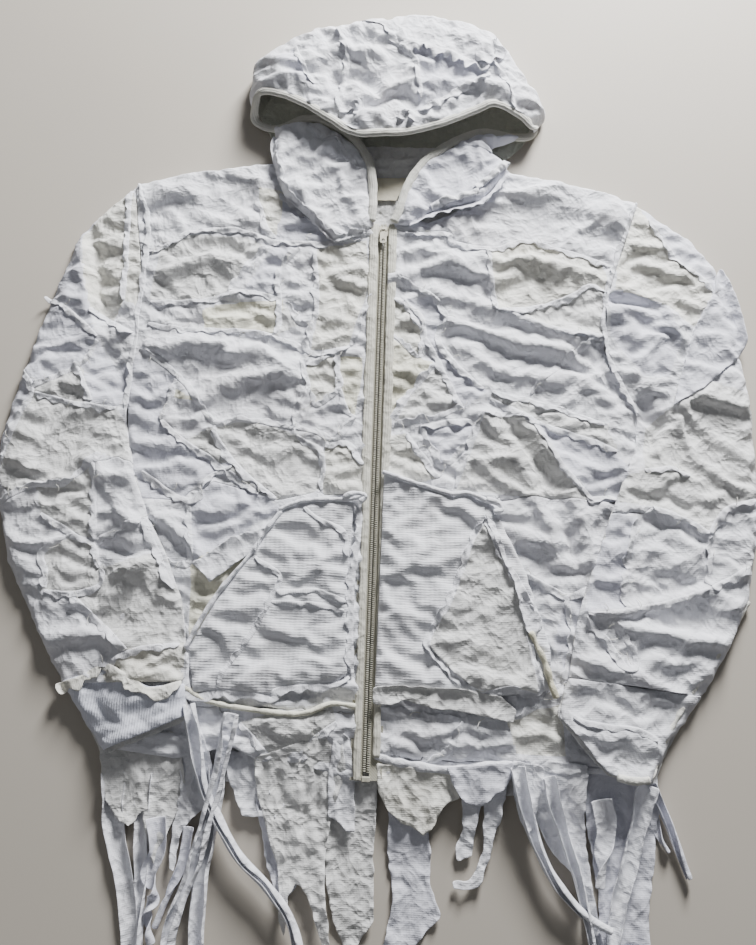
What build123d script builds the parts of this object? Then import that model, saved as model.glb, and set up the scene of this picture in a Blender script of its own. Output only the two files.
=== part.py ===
"""Patchwork camouflage jacket of torn white jersey, laid flat on its back.

A zip-front hooded jacket pieced from cut-up sweatshirts, with a ragged fringe below the hem.
+Z is up from the ground, +Y runs from the hem to the hood, +X is to the viewer's right.
The origin is on the ground under the middle of the whole jacket, and the zip lies on X = 0.
Cloth lies in layers: the back on the ground, a hollow for the wearer, the fronts, and patches.
"""

import os
from math import hypot

from build123d import *

os.makedirs("parts", exist_ok=True)

# Heights of the layers above the ground.
CLOTH = 2.5  # two layers of sweatshirt cloth with their seams
FRONT_LOW = 14.0  # underside of the fronts, with the wearer's hollow below
FRONT_TOP = FRONT_LOW + CLOTH
PATCH_TOP = FRONT_TOP + 1.5
POCKET_TOP = 24.0
ARM_TOP = 17.0  # a sleeve that lies on the ground
CROSSING_LOW = 19.0  # underside of a forearm that lies over the front
CROSSING_TOP = 29.0
SLEEVE_WALL = 2.0
FRONT_WALL = 3.0
POCKET_WALL = 2.0

# The zip, closed.
ZIP_TOP = 286.0
ZIP_BOTTOM = -336.0
FRONT_EDGE = 6.5  # each front stops this far from the middle of the zip
COIL_IN, COIL_OUT = 0.85, 3.3
COIL_LOW, COIL_TOP = 12.0, 15.2
TAPE_LOW, TAPE_TOP = 12.5, 13.7
TAPE_OUT = 16.0
PLACKET_OUT = 20.0
SLIDER_Y = 278.0
SLIDER_HALF = 7.0
PIVOT_Z = 19.2
PULL_LENGTH = 17.0

# The hood, which hinges on the neck seam.
HOOD_LIP_Y = 424.0
HOOD_TOP = 50.0
BINDING_WIDTH = 12.0

# Sides of the body that a forearm lies over: the body's edge at the elbow and at the hem.
LEFT_SIDE = (-285.0, -266.0)
RIGHT_SIDE = (298.0, 296.0)
ELBOW_Y, BELOW_HEM_Y = -30.0, -345.0

parts = {}


def face(points):
    """A flat outline through the given corners."""
    return make_face(Polyline(*points, close=True))


def cloth(points, low, high):
    """A flat piece of cloth between two heights."""
    return Pos(0, 0, low) * extrude(face(points), high - low)


def hollow(points, low, high, wall, *mouths, roof=SLEEVE_WALL, floor=True):
    """A flattened pouch of cloth, open towards each (x, y) in mouths."""
    bottom = low + wall if floor else low
    room = extrude(offset(face(points), -wall, kind=Kind.INTERSECTION), high - roof - bottom)
    shell = cloth(points, low, high) - Pos(0, 0, bottom) * room
    for x, y in mouths:
        shell -= Pos(2 * wall * x, 2 * wall * y, bottom) * room
    return shell


def beside(side, gap):
    """The ground plan of the body seen from one side's sleeve, grown by a gap."""
    away = -gap if side[0] < 0 else gap
    return [
        (side[0] + away, ELBOW_Y + gap),
        (side[1] + away, BELOW_HEM_Y - gap),
        (0, BELOW_HEM_Y - gap),
        (0, ELBOW_Y + gap),
    ]


def forearm(points, side, *mouths):
    """A flattened sleeve that lies on the ground outside the body and steps up over its edge."""
    w = SLEEVE_WALL
    step = 14.0
    inner = offset(face(points), -w, kind=Kind.INTERSECTION)
    over = face(beside(side, step))
    inner_over = face(beside(side, step - w))
    outside = cloth(points, 0, ARM_TOP)
    outside += extrude(face(points) & over, CROSSING_TOP)
    outside -= cloth(beside(side, 0), 0, CROSSING_LOW)
    room = Pos(0, 0, w) * extrude(inner, ARM_TOP - 2 * w)
    room += Pos(0, 0, w) * extrude(inner & inner_over, CROSSING_TOP - 2 * w)
    room -= cloth(beside(side, w), 0, CROSSING_LOW + w)
    shell = outside - room
    for x, y in mouths:
        shell -= Pos(2 * w * x, 2 * w * y, 0) * room
    return shell


def strip(points, width, low, high, tip=0.45):
    """A torn strip of cloth along a path, narrowing to its tip."""
    lefts, rights = [], []
    last = len(points) - 1
    for i, (x, y) in enumerate(points):
        ax, ay = points[max(i - 1, 0)]
        bx, by = points[min(i + 1, last)]
        length = hypot(bx - ax, by - ay)
        half = width / 2 * (1 - (1 - tip) * i / last)
        nx, ny = -(by - ay) / length * half, (bx - ax) / length * half
        lefts.append((x + nx, y + ny))
        rights.append((x - nx, y - ny))
    return cloth(lefts + rights[::-1], low, high)


def keep(name, *solids):
    """Stores one named piece made of one or more solids."""
    parts[name] = solids[0] if len(solids) == 1 else Compound(children=list(solids))


def make_back():
    back = [
        (-137, 379), (-118, 398), (128, 398), (150, 376), (311, 333), (262, 190), (262, 130),
        (295, 50), (293, -335), (10, -332), (-262, -328), (-282, 30), (-283, 200), (-308, 342),
    ]
    keep("back_panel", cloth(back, 0, CLOTH))
    band = [(-262, -328.5), (10, -332.5), (293, -335.5), (292, -352), (10, -350), (-262, -345)]
    keep("hem_band_back", cloth(band, 0, CLOTH))
    facing = [(-100, 396), (-60, 330), (-22, 305), (22, 305), (70, 330), (115, 396)]
    keep("neck_facing", cloth(facing, CLOTH, CLOTH + 1.2))
    label = [(-22, 333), (20, 333), (20, 364), (-22, 364)]
    keep("neck_label", cloth(label, CLOTH + 1.2, CLOTH + 1.8))


def make_fronts():
    left = [
        (-137, 379), (-308, 342), (-283, 200), (-282, 30), (-264, -276), (-FRONT_EDGE, -276),
        (-FRONT_EDGE, 290), (-60, 292), (-105, 318),
    ]
    right = [
        (150, 376), (110, 325), (53, 298), (FRONT_EDGE, 290), (FRONT_EDGE, -318), (293, -318),
        (295, 50), (262, 130), (262, 190), (311, 333),
    ]
    armhole_left = cloth([(-320, 45), (-270, 45), (-270, 330), (-320, 330)], CLOTH, FRONT_LOW)
    armhole_right = cloth([(255, 70), (330, 70), (330, 322), (255, 322)], CLOTH, FRONT_LOW)
    for name, outline, zip_side, armhole in (
        ("left", left, 1, armhole_left),
        ("right", right, -1, armhole_right),
    ):
        mouths = [(zip_side, 0), (0, -1), (zip_side, 1), (zip_side, -1)]
        shell = hollow(outline, CLOTH, FRONT_TOP, FRONT_WALL, *mouths, roof=CLOTH, floor=False)
        keep(f"front_{name}_panel", shell - armhole)
    band_left = [
        (-264, -276.5), (-263, -318), (-190, -326), (-137, -312), (-106, -326), (-67, -326),
        (-18, -342), (-FRONT_EDGE, -342), (-FRONT_EDGE, -276.5),
    ]
    band_right = [
        (FRONT_EDGE, -318.5), (FRONT_EDGE, -341), (38, -335), (85, -336), (147, -328),
        (236, -330), (293, -340), (293, -318.5),
    ]
    keep("hem_band_left", cloth(band_left, FRONT_LOW, FRONT_TOP))
    keep("hem_band_right", cloth(band_right, FRONT_LOW, FRONT_TOP + 2))


def make_patches():
    """Pieces stitched over the fronts, each raised by its raw edges."""
    yoke_left = [
        (-132, 374), (-298, 338), (-281, 250), (-150, 256), (-PLACKET_OUT - 2, 272), (-60, 288),
        (-110, 320),
    ]
    yoke_right = [
        (148, 370), (116, 325), (56, 292), (PLACKET_OUT + 2, 272), (150, 268), (268, 262),
        (300, 330),
    ]
    keep("yoke_left", cloth(yoke_left, FRONT_TOP, PATCH_TOP))
    keep("yoke_right", cloth(yoke_right, FRONT_TOP, PATCH_TOP))
    chest_left = [
        [(-278, 245), (-150, 250), (-120, 190), (-278, 182)],
        [(-145, 250), (-26, 266), (-26, 120), (-84, 128), (-114, 190)],
        [(-277, 176), (-120, 184), (-92, 128), (-150, 40), (-262, 40)],
        [(-140, 36), (-84, 120), (-26, 112), (-26, -45), (-88, -48)],
    ]
    chest_right = [
        [(26, 266), (150, 262), (240, 150), (26, 90)],
        [(156, 262), (262, 256), (256, 140), (246, 150)],
        [(130, 110), (244, 144), (285, 48), (140, 72)],
        [(26, 84), (124, 108), (132, 66), (96, 10), (26, -20)],
        [(140, 66), (284, 42), (262, -40), (194, -160), (136, -52), (104, 8)],
    ]
    keep("chest_patches_left", *[cloth(patch, FRONT_TOP, PATCH_TOP) for patch in chest_left])
    keep("chest_patches_right", *[cloth(patch, FRONT_TOP, PATCH_TOP) for patch in chest_right])
    for name, side, bottom in (("left", -1, -342), ("right", 1, -318)):
        strip_of_rib = [
            (side * FRONT_EDGE, 288), (side * 14, 288), (side * PLACKET_OUT, 262),
            (side * PLACKET_OUT, bottom), (side * FRONT_EDGE, bottom),
        ]
        top = PATCH_TOP if side < 0 else PATCH_TOP + 0.5
        keep(f"placket_{name}", cloth(strip_of_rib, FRONT_TOP, top))


def make_zip():
    for name, side in (("left", -1), ("right", 1)):
        tape = [
            (side * COIL_OUT, ZIP_TOP + 0.5), (side * (TAPE_OUT - 4), ZIP_TOP + 0.5),
            (side * TAPE_OUT, ZIP_TOP - 12), (side * TAPE_OUT, ZIP_BOTTOM - 4),
            (side * COIL_OUT, ZIP_BOTTOM - 4),
        ]
        coil = [
            (side * COIL_IN, ZIP_BOTTOM), (side * COIL_OUT, ZIP_BOTTOM),
            (side * COIL_OUT, ZIP_TOP), (side * COIL_IN, ZIP_TOP),
        ]
        keep(f"zip_tape_{name}", cloth(tape, TAPE_LOW, TAPE_TOP))
        keep(f"zip_coil_{name}", cloth(coil, COIL_LOW, COIL_TOP))
    stops = [
        Pos(side * 2.0, ZIP_TOP + 1.5, 13.6) * fillet(Box(2.4, 2.6, 3.4).edges(), 0.5)
        for side in (-1, 1)
    ]
    keep("zip_top_stops", *stops)
    pin = Pos(-1.9, ZIP_BOTTOM - 2.6, 13.6) * Box(1.8, 4.8, 2.4)
    keep("zip_insertion_pin", pin)
    box = Pos(0, ZIP_BOTTOM - 2.8, 13.6) * fillet(Box(8.4, 5.2, 5.0).edges(), 0.8)
    room = Pos(-1.9, ZIP_BOTTOM - 2.6, 13.6) * Box(1.8, 4.8, 2.4)
    tapes = Pos(0, ZIP_BOTTOM - 2, (TAPE_LOW + TAPE_TOP) / 2) * Box(40, 4.2, TAPE_TOP - TAPE_LOW)
    core = Pos(0, ZIP_BOTTOM - 2.8, 13.6) * Box(2 * COIL_OUT, 6, 5)
    keep("zip_retainer_box", box - room - (tapes - core))


def make_slider():
    """Two plates joined by a wedge that runs between the coils, and a bridge for the pull."""
    long = 2 * SLIDER_HALF
    wide = 11.0
    outline = Rectangle(wide, long)
    outline = fillet(outline.vertices(), 3)
    top = Pos(0, SLIDER_Y, 15.6) * extrude(outline, 1.2)
    bottom = Pos(0, SLIDER_Y, 10.4) * extrude(outline, 1.2)
    wedge = Pos(0, SLIDER_Y + 4, 13.6) * Box(1.0, 5, 5.2)
    upper_lips = [Pos(x, SLIDER_Y, 15.0) * Box(1.0, 6, 1.4) for x in (-5, 5)]
    lower_lips = [Pos(x, SLIDER_Y, 11.7) * Box(1.0, 6, 0.5) for x in (-5, 5)]
    posts = [Pos(x, SLIDER_Y + 1, 18.4) * Box(1.1, 3.4, 3.2) for x in (-2.9, 2.9)]
    bar = Pos(0, SLIDER_Y + 1, PIVOT_Z) * Rot(0, 90, 0) * Cylinder(0.8, 5.0)
    body = top + bottom + wedge + bar
    for piece in upper_lips + lower_lips + posts:
        body += piece
    keep("zip_slider", body)
    barrel = Pos(0, SLIDER_Y + 1, PIVOT_Z) * Rot(0, 90, 0) * Cylinder(1.8, 4.2)
    tab = fillet(Rectangle(8.0, PULL_LENGTH - 2).vertices(), 2.6)
    tab = tab - Pos(0, -PULL_LENGTH / 2 + 5.0) * Circle(1.9)
    tab = Pos(0, SLIDER_Y - PULL_LENGTH / 2 - 1.2, PIVOT_Z - 0.6) * extrude(tab, 1.2)
    tab -= Pos(0, SLIDER_Y + 1, PIVOT_Z) * Box(12, 4.6, 6)
    neck = Pos(0, SLIDER_Y - 1.6, PIVOT_Z) * Box(4.2, 2.4, 1.2)
    hole = Pos(0, SLIDER_Y + 1, PIVOT_Z) * Rot(0, 90, 0) * Cylinder(1.15, 6)
    keep("zip_pull", barrel + neck + tab - hole)


def make_pockets():
    left = [(-91, -60), (-22, -56), (-22, -262), (-100, -268), (-178, -262), (-180, -222)]
    right = [(22, -24), (78, -48), (126, -60), (186, -205), (187, -249), (22, -252)]
    keep("pocket_left", hollow(left, FRONT_TOP, POCKET_TOP, POCKET_WALL, (-1, 0), (-1, 0.5),
                               floor=False))
    keep("pocket_right", hollow(right, FRONT_TOP, POCKET_TOP, POCKET_WALL, (1, 0), (1, 0.3),
                                floor=False))
    welt = [(-102, -160), (-24, -158), (-24, -172), (-102, -174)]
    keep("pocket_left_welt", cloth(welt, POCKET_TOP, POCKET_TOP + 1.5))
    torn_strip = [(-170, -214), (-106, -110), (-112, -84), (-92, -64), (-84, -72), (-98, -114),
                  (-158, -218)]
    keep("pocket_left_torn_strip", cloth(torn_strip, POCKET_TOP, POCKET_TOP + 1.5))
    gap_welt = [(-176, -268.5), (-100, -269), (-24, -263), (-24, -272), (-100, -275.5),
                (-178, -275.5)]
    keep("pocket_left_hem_welt", cloth(gap_welt, FRONT_TOP, FRONT_TOP + 4))
    torn = [(120, -76), (60, -200), (104, -246), (150, -240), (166, -206)]
    keep("pocket_right_torn_patch", cloth(torn, POCKET_TOP, POCKET_TOP + 2))
    roll = [(168, -212), (174, -212), (184, -244), (178, -246)]
    keep("pocket_right_rolled_edge", cloth(roll, POCKET_TOP, POCKET_TOP + 5))
    band = [(22, -252.5), (150, -250), (148, -272), (60, -276), (22, -268)]
    keep("pocket_right_band", cloth(band, FRONT_TOP, POCKET_TOP - 1))


def make_sleeves():
    upper_left = [
        (-308.5, 341.5), (-371, 269), (-394, 179), (-414, 84), (-428, 10), (-424, -41),
        (-286, -41), (-283.5, 30), (-283.5, 200),
    ]
    upper_right = [
        (311.5, 332.5), (262.5, 190), (262.5, 130), (295.5, 50), (298.5, -61), (425, -61),
        (428, 20), (428, 84), (422, 134), (402, 247), (372, 285),
    ]
    lower_left = [
        (-424, -41.5), (-396, -133), (-319, -257), (-188, -251), (-198, -170), (-240, -86),
        (-262, -41.5),
    ]
    lower_right = [
        (425, -61.5), (403, -150), (358, -233), (345, -250), (203, -235), (217, -167),
        (252, -71), (256, -61.5),
    ]
    cuff_left = [(-319, -257.5), (-267, -321), (-183, -284), (-188, -251.5)]
    cuff_right = [(345, -250.5), (307, -297), (285, -333), (238, -322), (192, -272), (203, -235.5)]
    keep("sleeve_left_upper", hollow(upper_left, 0, ARM_TOP, SLEEVE_WALL, (1, 0), (0, -1)))
    keep("sleeve_right_upper", hollow(upper_right, 0, ARM_TOP, SLEEVE_WALL, (-1, 0), (0, -1)))
    keep("sleeve_left_lower", forearm(lower_left, LEFT_SIDE, (0, 1), (0, -1)))
    keep("sleeve_right_lower", forearm(lower_right, RIGHT_SIDE, (0, 1), (0, -1)))
    keep("cuff_left", forearm(cuff_left, LEFT_SIDE, (0, 1), (0.4, -1), (-0.3, 0.9)))
    keep("cuff_right", forearm(cuff_right, RIGHT_SIDE, (0, 1), (0, -1), (-0.8, -0.8)))
    patches_left = [
        [(-320, 300), (-365, 255), (-384, 185), (-292, 190), (-292, 260)],
        [(-386, 178), (-405, 84), (-416, 10), (-300, 10), (-292, 182)],
    ]
    patches_right = [
        [(322, 310), (366, 276), (395, 243), (404, 186), (300, 60), (272, 140), (272, 186)],
        [(410, 180), (417, 130), (418, 50), (306, 50)],
    ]
    keep("sleeve_left_patches", *[cloth(patch, ARM_TOP, ARM_TOP + 1.5) for patch in patches_left])
    keep("sleeve_right_patches",
         *[cloth(patch, ARM_TOP, ARM_TOP + 1.5) for patch in patches_right])


def make_collar():
    """The lower ends of the hood, which fold open from the neckline to the top of the zip."""
    left = [
        (-135, 381), (-118, 400), (-60, 400), (-30, 360), (-16, 305), (-FRONT_EDGE - 2, 292.5),
        (-60, 294), (-104, 320),
    ]
    right = [
        (148, 378), (130, 400), (62, 386), (34, 340), (20, 310), (FRONT_EDGE + 2, 292.5),
        (53, 300), (108, 327),
    ]
    low, high = CLOTH + 2.0, 21.0
    keep("collar_left", cloth(left, low, high))
    keep("collar_right", cloth(right, low, high))
    casing = [(60, 318), (104, 345), (134, 374), (126, 380), (96, 352), (56, 328)]
    keep("collar_casing", cloth(casing, high, high + 2))


def scaled(points, factor, lip):
    """An outline drawn in towards the middle of the hood's mouth."""
    middle = 13.0
    return [(middle + (x - middle) * factor, lip + (y - HOOD_LIP_Y) * factor) for x, y in points]


def make_hood():
    """A dome of cloth lying open towards the neck, in three panels behind a bound edge."""
    outline = [
        (-150, HOOD_LIP_Y), (-173, 456), (-167, 506), (-113, 541), (-40, 566), (6, 572),
        (76, 567), (133, 545), (168, 505), (198, 455), (180, HOOD_LIP_Y),
    ]

    def dome(factors, heights, lip):
        levels = [Pos(0, 0, z) * face(scaled(outline, factor, lip))
                  for factor, z in zip(factors, heights)]
        return loft(levels, ruled=True)

    outer = dome((1.0, 0.93, 0.70), (CLOTH, 32.0, HOOD_TOP), HOOD_LIP_Y)
    inner = dome((0.96, 0.89, 0.66), (CLOTH - 0.01, 29.0, HOOD_TOP - 3.5), HOOD_LIP_Y - 1)
    shell = outer - inner
    binding_end = HOOD_LIP_Y + BINDING_WIDTH
    keep("hood_edge_binding", shell & Pos(0, HOOD_LIP_Y, 30) * Box(500, 2 * BINDING_WIDTH, 80))
    left_seam = [(-64, 600), (-64, 560), (-30, 500), (-20, binding_end)]
    right_seam = [(150, 600), (128, 540), (112, 500), (102, binding_end)]
    left = cloth(left_seam + [(-220, binding_end), (-220, 600)], 0, 80)
    right = cloth(right_seam + [(240, binding_end), (240, 600)], 0, 80)
    middle = cloth(left_seam + right_seam[::-1], 0, 80)
    keep("hood_left_panel", shell & left)
    keep("hood_crown_panel", shell & middle)
    keep("hood_right_panel", shell & right)
    neck = [(-118, 408), (128, 408), (170, HOOD_LIP_Y)]
    keep("hood_back_panel", cloth(neck + outline[-2::-1] + [(-148, HOOD_LIP_Y)], 0, CLOTH))
    flaps = [
        [(96, 470), (128, 500), (60, 506)],
        [(-10, 440), (10, 440), (0, 458)],
    ]
    keep("hood_raw_flaps", *[cloth(flap, HOOD_TOP, HOOD_TOP + 4) for flap in flaps])


def make_fringe():
    """Torn strips and tails that hang from the hem, in up to three layers."""
    low = (0, CLOTH)
    middle = (CLOTH, 2 * CLOTH)
    high = (5.2, 9.0)
    start = -352.5
    keep(
        "fringe_left_strips",
        strip([(-256, start), (-249, -396), (-231, -440), (-219, -495), (-212, -560)], 15, *low),
        strip([(-213, start), (-220, -422), (-216, -474), (-206, -530)], 12, *low),
        strip([(-142, start), (-150, -393), (-155, -437), (-156, -493), (-150, -572)], 15, *low),
        strip([(-184, start), (-186, -406), (-190, -428)], 8, *low),
        strip([(-170, start), (-175, -420), (-187, -449), (-198, -477)], 10, *low),
    )
    keep(
        "fringe_left_tails",
        cloth([(-252, -341), (-238, -341), (-218, -433), (-228, -430)], *middle),
        cloth([(-232, -341), (-172, -341), (-188, -402), (-206, -440), (-214, -436), (-212, -380)],
              *middle),
    )
    keep("fringe_left_roll",
         strip([(-168, -343), (-162, -354), (-148, -373), (-123, -410), (-94, -436), (-71, -461),
                (-56, -492), (-48, -540)], 9, *high, tip=0.8))
    keep("fringe_left_drawn_strip",
         strip([(-144, -343), (-151, -368), (-163, -420), (-180, -464), (-181, -494),
                (-174, -550)], 13, 9.3, 12.5, tip=0.7))
    keep("fringe_gathered_tail",
         cloth([(-125, -341), (-18, -343.5), (-22, -380), (-40, -410), (-33, -489), (-36, -512),
                (-50, -450), (-64, -418), (-76, -400), (-104, -378)], *middle))
    keep(
        "fringe_centre_tails",
        cloth([(-118, start), (-88, start), (-82, -400), (-64, -446), (-74, -486), (-80, -450),
               (-104, -385)], *low),
        cloth([(-40, start), (10, start), (8, -420), (12, -460), (-6, -505), (-16, -494),
               (-26, -459), (-40, -395)], *low),
    )
    keep("fringe_right_tail",
         cloth([(28, start), (78, start), (68, -400), (74, -450), (70, -465), (48, -492),
                (36, -520), (27, -492), (30, -450), (37, -395)], *low))
    keep("fringe_frayed_bunch",
         cloth([(24, -343), (86, -343), (72, -385), (54, -404), (38, -385)], *middle))
    keep(
        "fringe_short_strips",
        strip([(98, -343), (95, -411)], 15, *middle),
        strip([(124, -343), (118, -385), (108, -430)], 11, *middle),
        strip([(142, -343), (133, -380), (122, -425)], 9, *middle),
    )
    keep("fringe_right_roll",
         strip([(154, -343), (162, -368), (166, -389), (175, -417), (197, -441), (218, -457),
                (238, -467)], 9, *high, tip=0.8))
    keep("fringe_cone",
         cloth([(166, -343), (226, -343), (214, -400), (226, -472), (214, -482), (203, -430),
                (188, -400)], *middle))
    keep(
        "fringe_right_strips",
        strip([(234, start), (230, -415), (226, -481), (222, -545)], 11, *low),
        strip([(258, start), (253, -414), (243, -481), (240, -540)], 14, *low),
        strip([(283, start - 2.5), (275, -414), (269, -480), (264, -560)], 17, *low),
        strip([(292, -343), (301, -371), (310, -404), (318, -420)], 11, *middle),
    )


make_back()
make_fronts()
make_patches()
make_zip()
make_slider()
make_pockets()
make_sleeves()
make_collar()
make_hood()
make_fringe()

for name, solid in parts.items():
    export_step(solid, f"parts/{name}.step")
print(len(parts), "parts")
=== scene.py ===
"""Looks of the torn-jersey patchwork jacket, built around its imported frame.

Shapes are worked in millimetres, in the frame of the jacket: +X to the viewer's right, +Y to the
hood, +Z up from the ground. make_piece turns each finished mesh into metres.
"""

from math import atan2, cos, exp, hypot, pi, radians, sin, sqrt

import bmesh
import bpy
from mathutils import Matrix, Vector, noise
from mathutils.bvhtree import BVHTree


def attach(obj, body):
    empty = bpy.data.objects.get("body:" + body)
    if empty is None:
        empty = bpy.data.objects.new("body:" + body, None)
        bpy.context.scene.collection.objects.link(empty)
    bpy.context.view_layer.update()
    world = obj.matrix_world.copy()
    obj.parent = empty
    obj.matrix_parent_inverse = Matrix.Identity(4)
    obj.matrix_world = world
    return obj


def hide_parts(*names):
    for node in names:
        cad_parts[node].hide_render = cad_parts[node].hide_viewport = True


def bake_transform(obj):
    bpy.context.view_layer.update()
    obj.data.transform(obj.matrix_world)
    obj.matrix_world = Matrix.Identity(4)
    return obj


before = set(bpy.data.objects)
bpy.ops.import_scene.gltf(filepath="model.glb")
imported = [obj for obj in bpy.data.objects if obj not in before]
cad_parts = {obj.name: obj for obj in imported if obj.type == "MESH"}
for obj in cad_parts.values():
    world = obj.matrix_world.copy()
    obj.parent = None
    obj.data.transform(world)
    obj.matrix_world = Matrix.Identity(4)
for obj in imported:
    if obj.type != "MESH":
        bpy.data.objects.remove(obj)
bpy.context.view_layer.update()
MM = 0.001
SLACK = (0.05, 0.12)  # how much longer the cut cloth is, along X and Y, than its place
EXTRA = 0.11  # further slack in the loosest places
BENDING = 0.6  # how strongly the cloth resists being folded
DRAWN_IN = 12  # the frame by which a sheet has come down to the size of its place
CLOTH_THICK = 1.1  # heavy jersey
TORN_THICK = 0.9  # torn strips and tails, thinned by stretching
EDGE_THICK = 0.8  # raw edges along the seams
GROUND = 0.6  # the lowest that the upper side of any cloth lies
UNDER_ZIP = 15.5  # the height of the fronts beside the zip
LEAST_FILL = 0.31  # the least share of the box round it that a cut may fill

# ---------------------------------------------------------------- camera, floor and light


def set_stage():
    """The camera over the jacket, a plain floor and soft window light from beyond the hood."""
    camera = bpy.data.objects.new("camera", bpy.data.cameras.new("camera"))
    bpy.context.scene.collection.objects.link(camera)
    camera.location = (0.0093, -0.2429, 0.820)
    tilt, roll = radians(15.3), radians(1.75)
    camera.rotation_euler = (tilt, 0, roll)
    camera.data.lens = 28.84
    camera.data.sensor_width = 36
    bpy.context.scene.camera = camera

    floor_mesh = bmesh.new()
    bmesh.ops.create_grid(floor_mesh, x_segments=8, y_segments=8, size=6)
    mesh = bpy.data.meshes.new("floor")
    floor_mesh.to_mesh(mesh)
    floor_mesh.free()
    floor = bpy.data.objects.new("floor", mesh)
    bpy.context.scene.collection.objects.link(floor)
    floor.location.z = -0.0005
    mesh.materials.append(floor_material())

    for name, place, size, power, colour in (
        ("window", (0.60, 1.90, 0.84), 0.6, 165, "#FFFFFF"),
        ("room", (-0.9, -1.3, 1.5), 1.8, 4, "#F4F1EC"),
    ):
        lamp = bpy.data.objects.new(name, bpy.data.lights.new(name, "AREA"))
        bpy.context.scene.collection.objects.link(lamp)
        lamp.location = place
        lamp.rotation_euler = Vector(place).to_track_quat("Z", "Y").to_euler()
        lamp.data.size = size
        lamp.data.energy = power
        lamp.data.color = linear(colour)[:3]
    world = bpy.data.worlds.new("studio")
    bpy.context.scene.world = world
    world.use_nodes = True
    background = world.node_tree.nodes["Background"]
    background.inputs["Color"].default_value = linear("#EEF2FA")
    background.inputs["Strength"].default_value = 0.11


# ---------------------------------------------------------------- materials


def linear(code):
    """An sRGB hex colour as linear red, green, blue and alpha."""
    parts = [int(code[i:i + 2], 16) / 255 for i in (1, 3, 5)]
    return [c / 12.92 if c <= 0.04045 else ((c + 0.055) / 1.055) ** 2.4 for c in parts] + [1.0]


def add(tree, kind, links=(), sockets=(), **settings):
    """Adds a node: settings are its properties, sockets its fixed inputs, links its wired ones."""
    node = tree.nodes.new("ShaderNode" + kind)
    for key, value in settings.items():
        setattr(node, key, value)
    for key, value in dict(sockets).items():
        node.inputs[key].default_value = value
    for key, output in dict(links).items():
        tree.links.new(output, node.inputs[key])
    return node


def new_material(name):
    """An empty material, its nodes and its shader."""
    material = bpy.data.materials.new(name)
    material.use_nodes = True
    tree = material.node_tree
    return material, tree, tree.nodes["Principled BSDF"]


def floor_material():
    """Matt painted board: pale greige with a faint unevenness."""
    material, tree, shader = new_material("painted_floor")
    place = add(tree, "TexCoord").outputs["Object"]
    patchy = add(tree, "TexNoise", {"Vector": place}, {"Scale": 3.0, "Detail": 4.0})
    tone = add(tree, "Mix", {0: patchy.outputs["Fac"]}, {6: linear("#B3ACA1"), 7: linear("#BDB6AB")},
               data_type="RGBA")
    tree.links.new(tone.outputs[2], shader.inputs["Base Color"])
    shader.inputs["Roughness"].default_value = 0.7
    return material


def wave_scale(period):
    """The Wave texture's scale for stripes that are this many millimetres apart."""
    return pi / (10 * period * MM)


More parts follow.
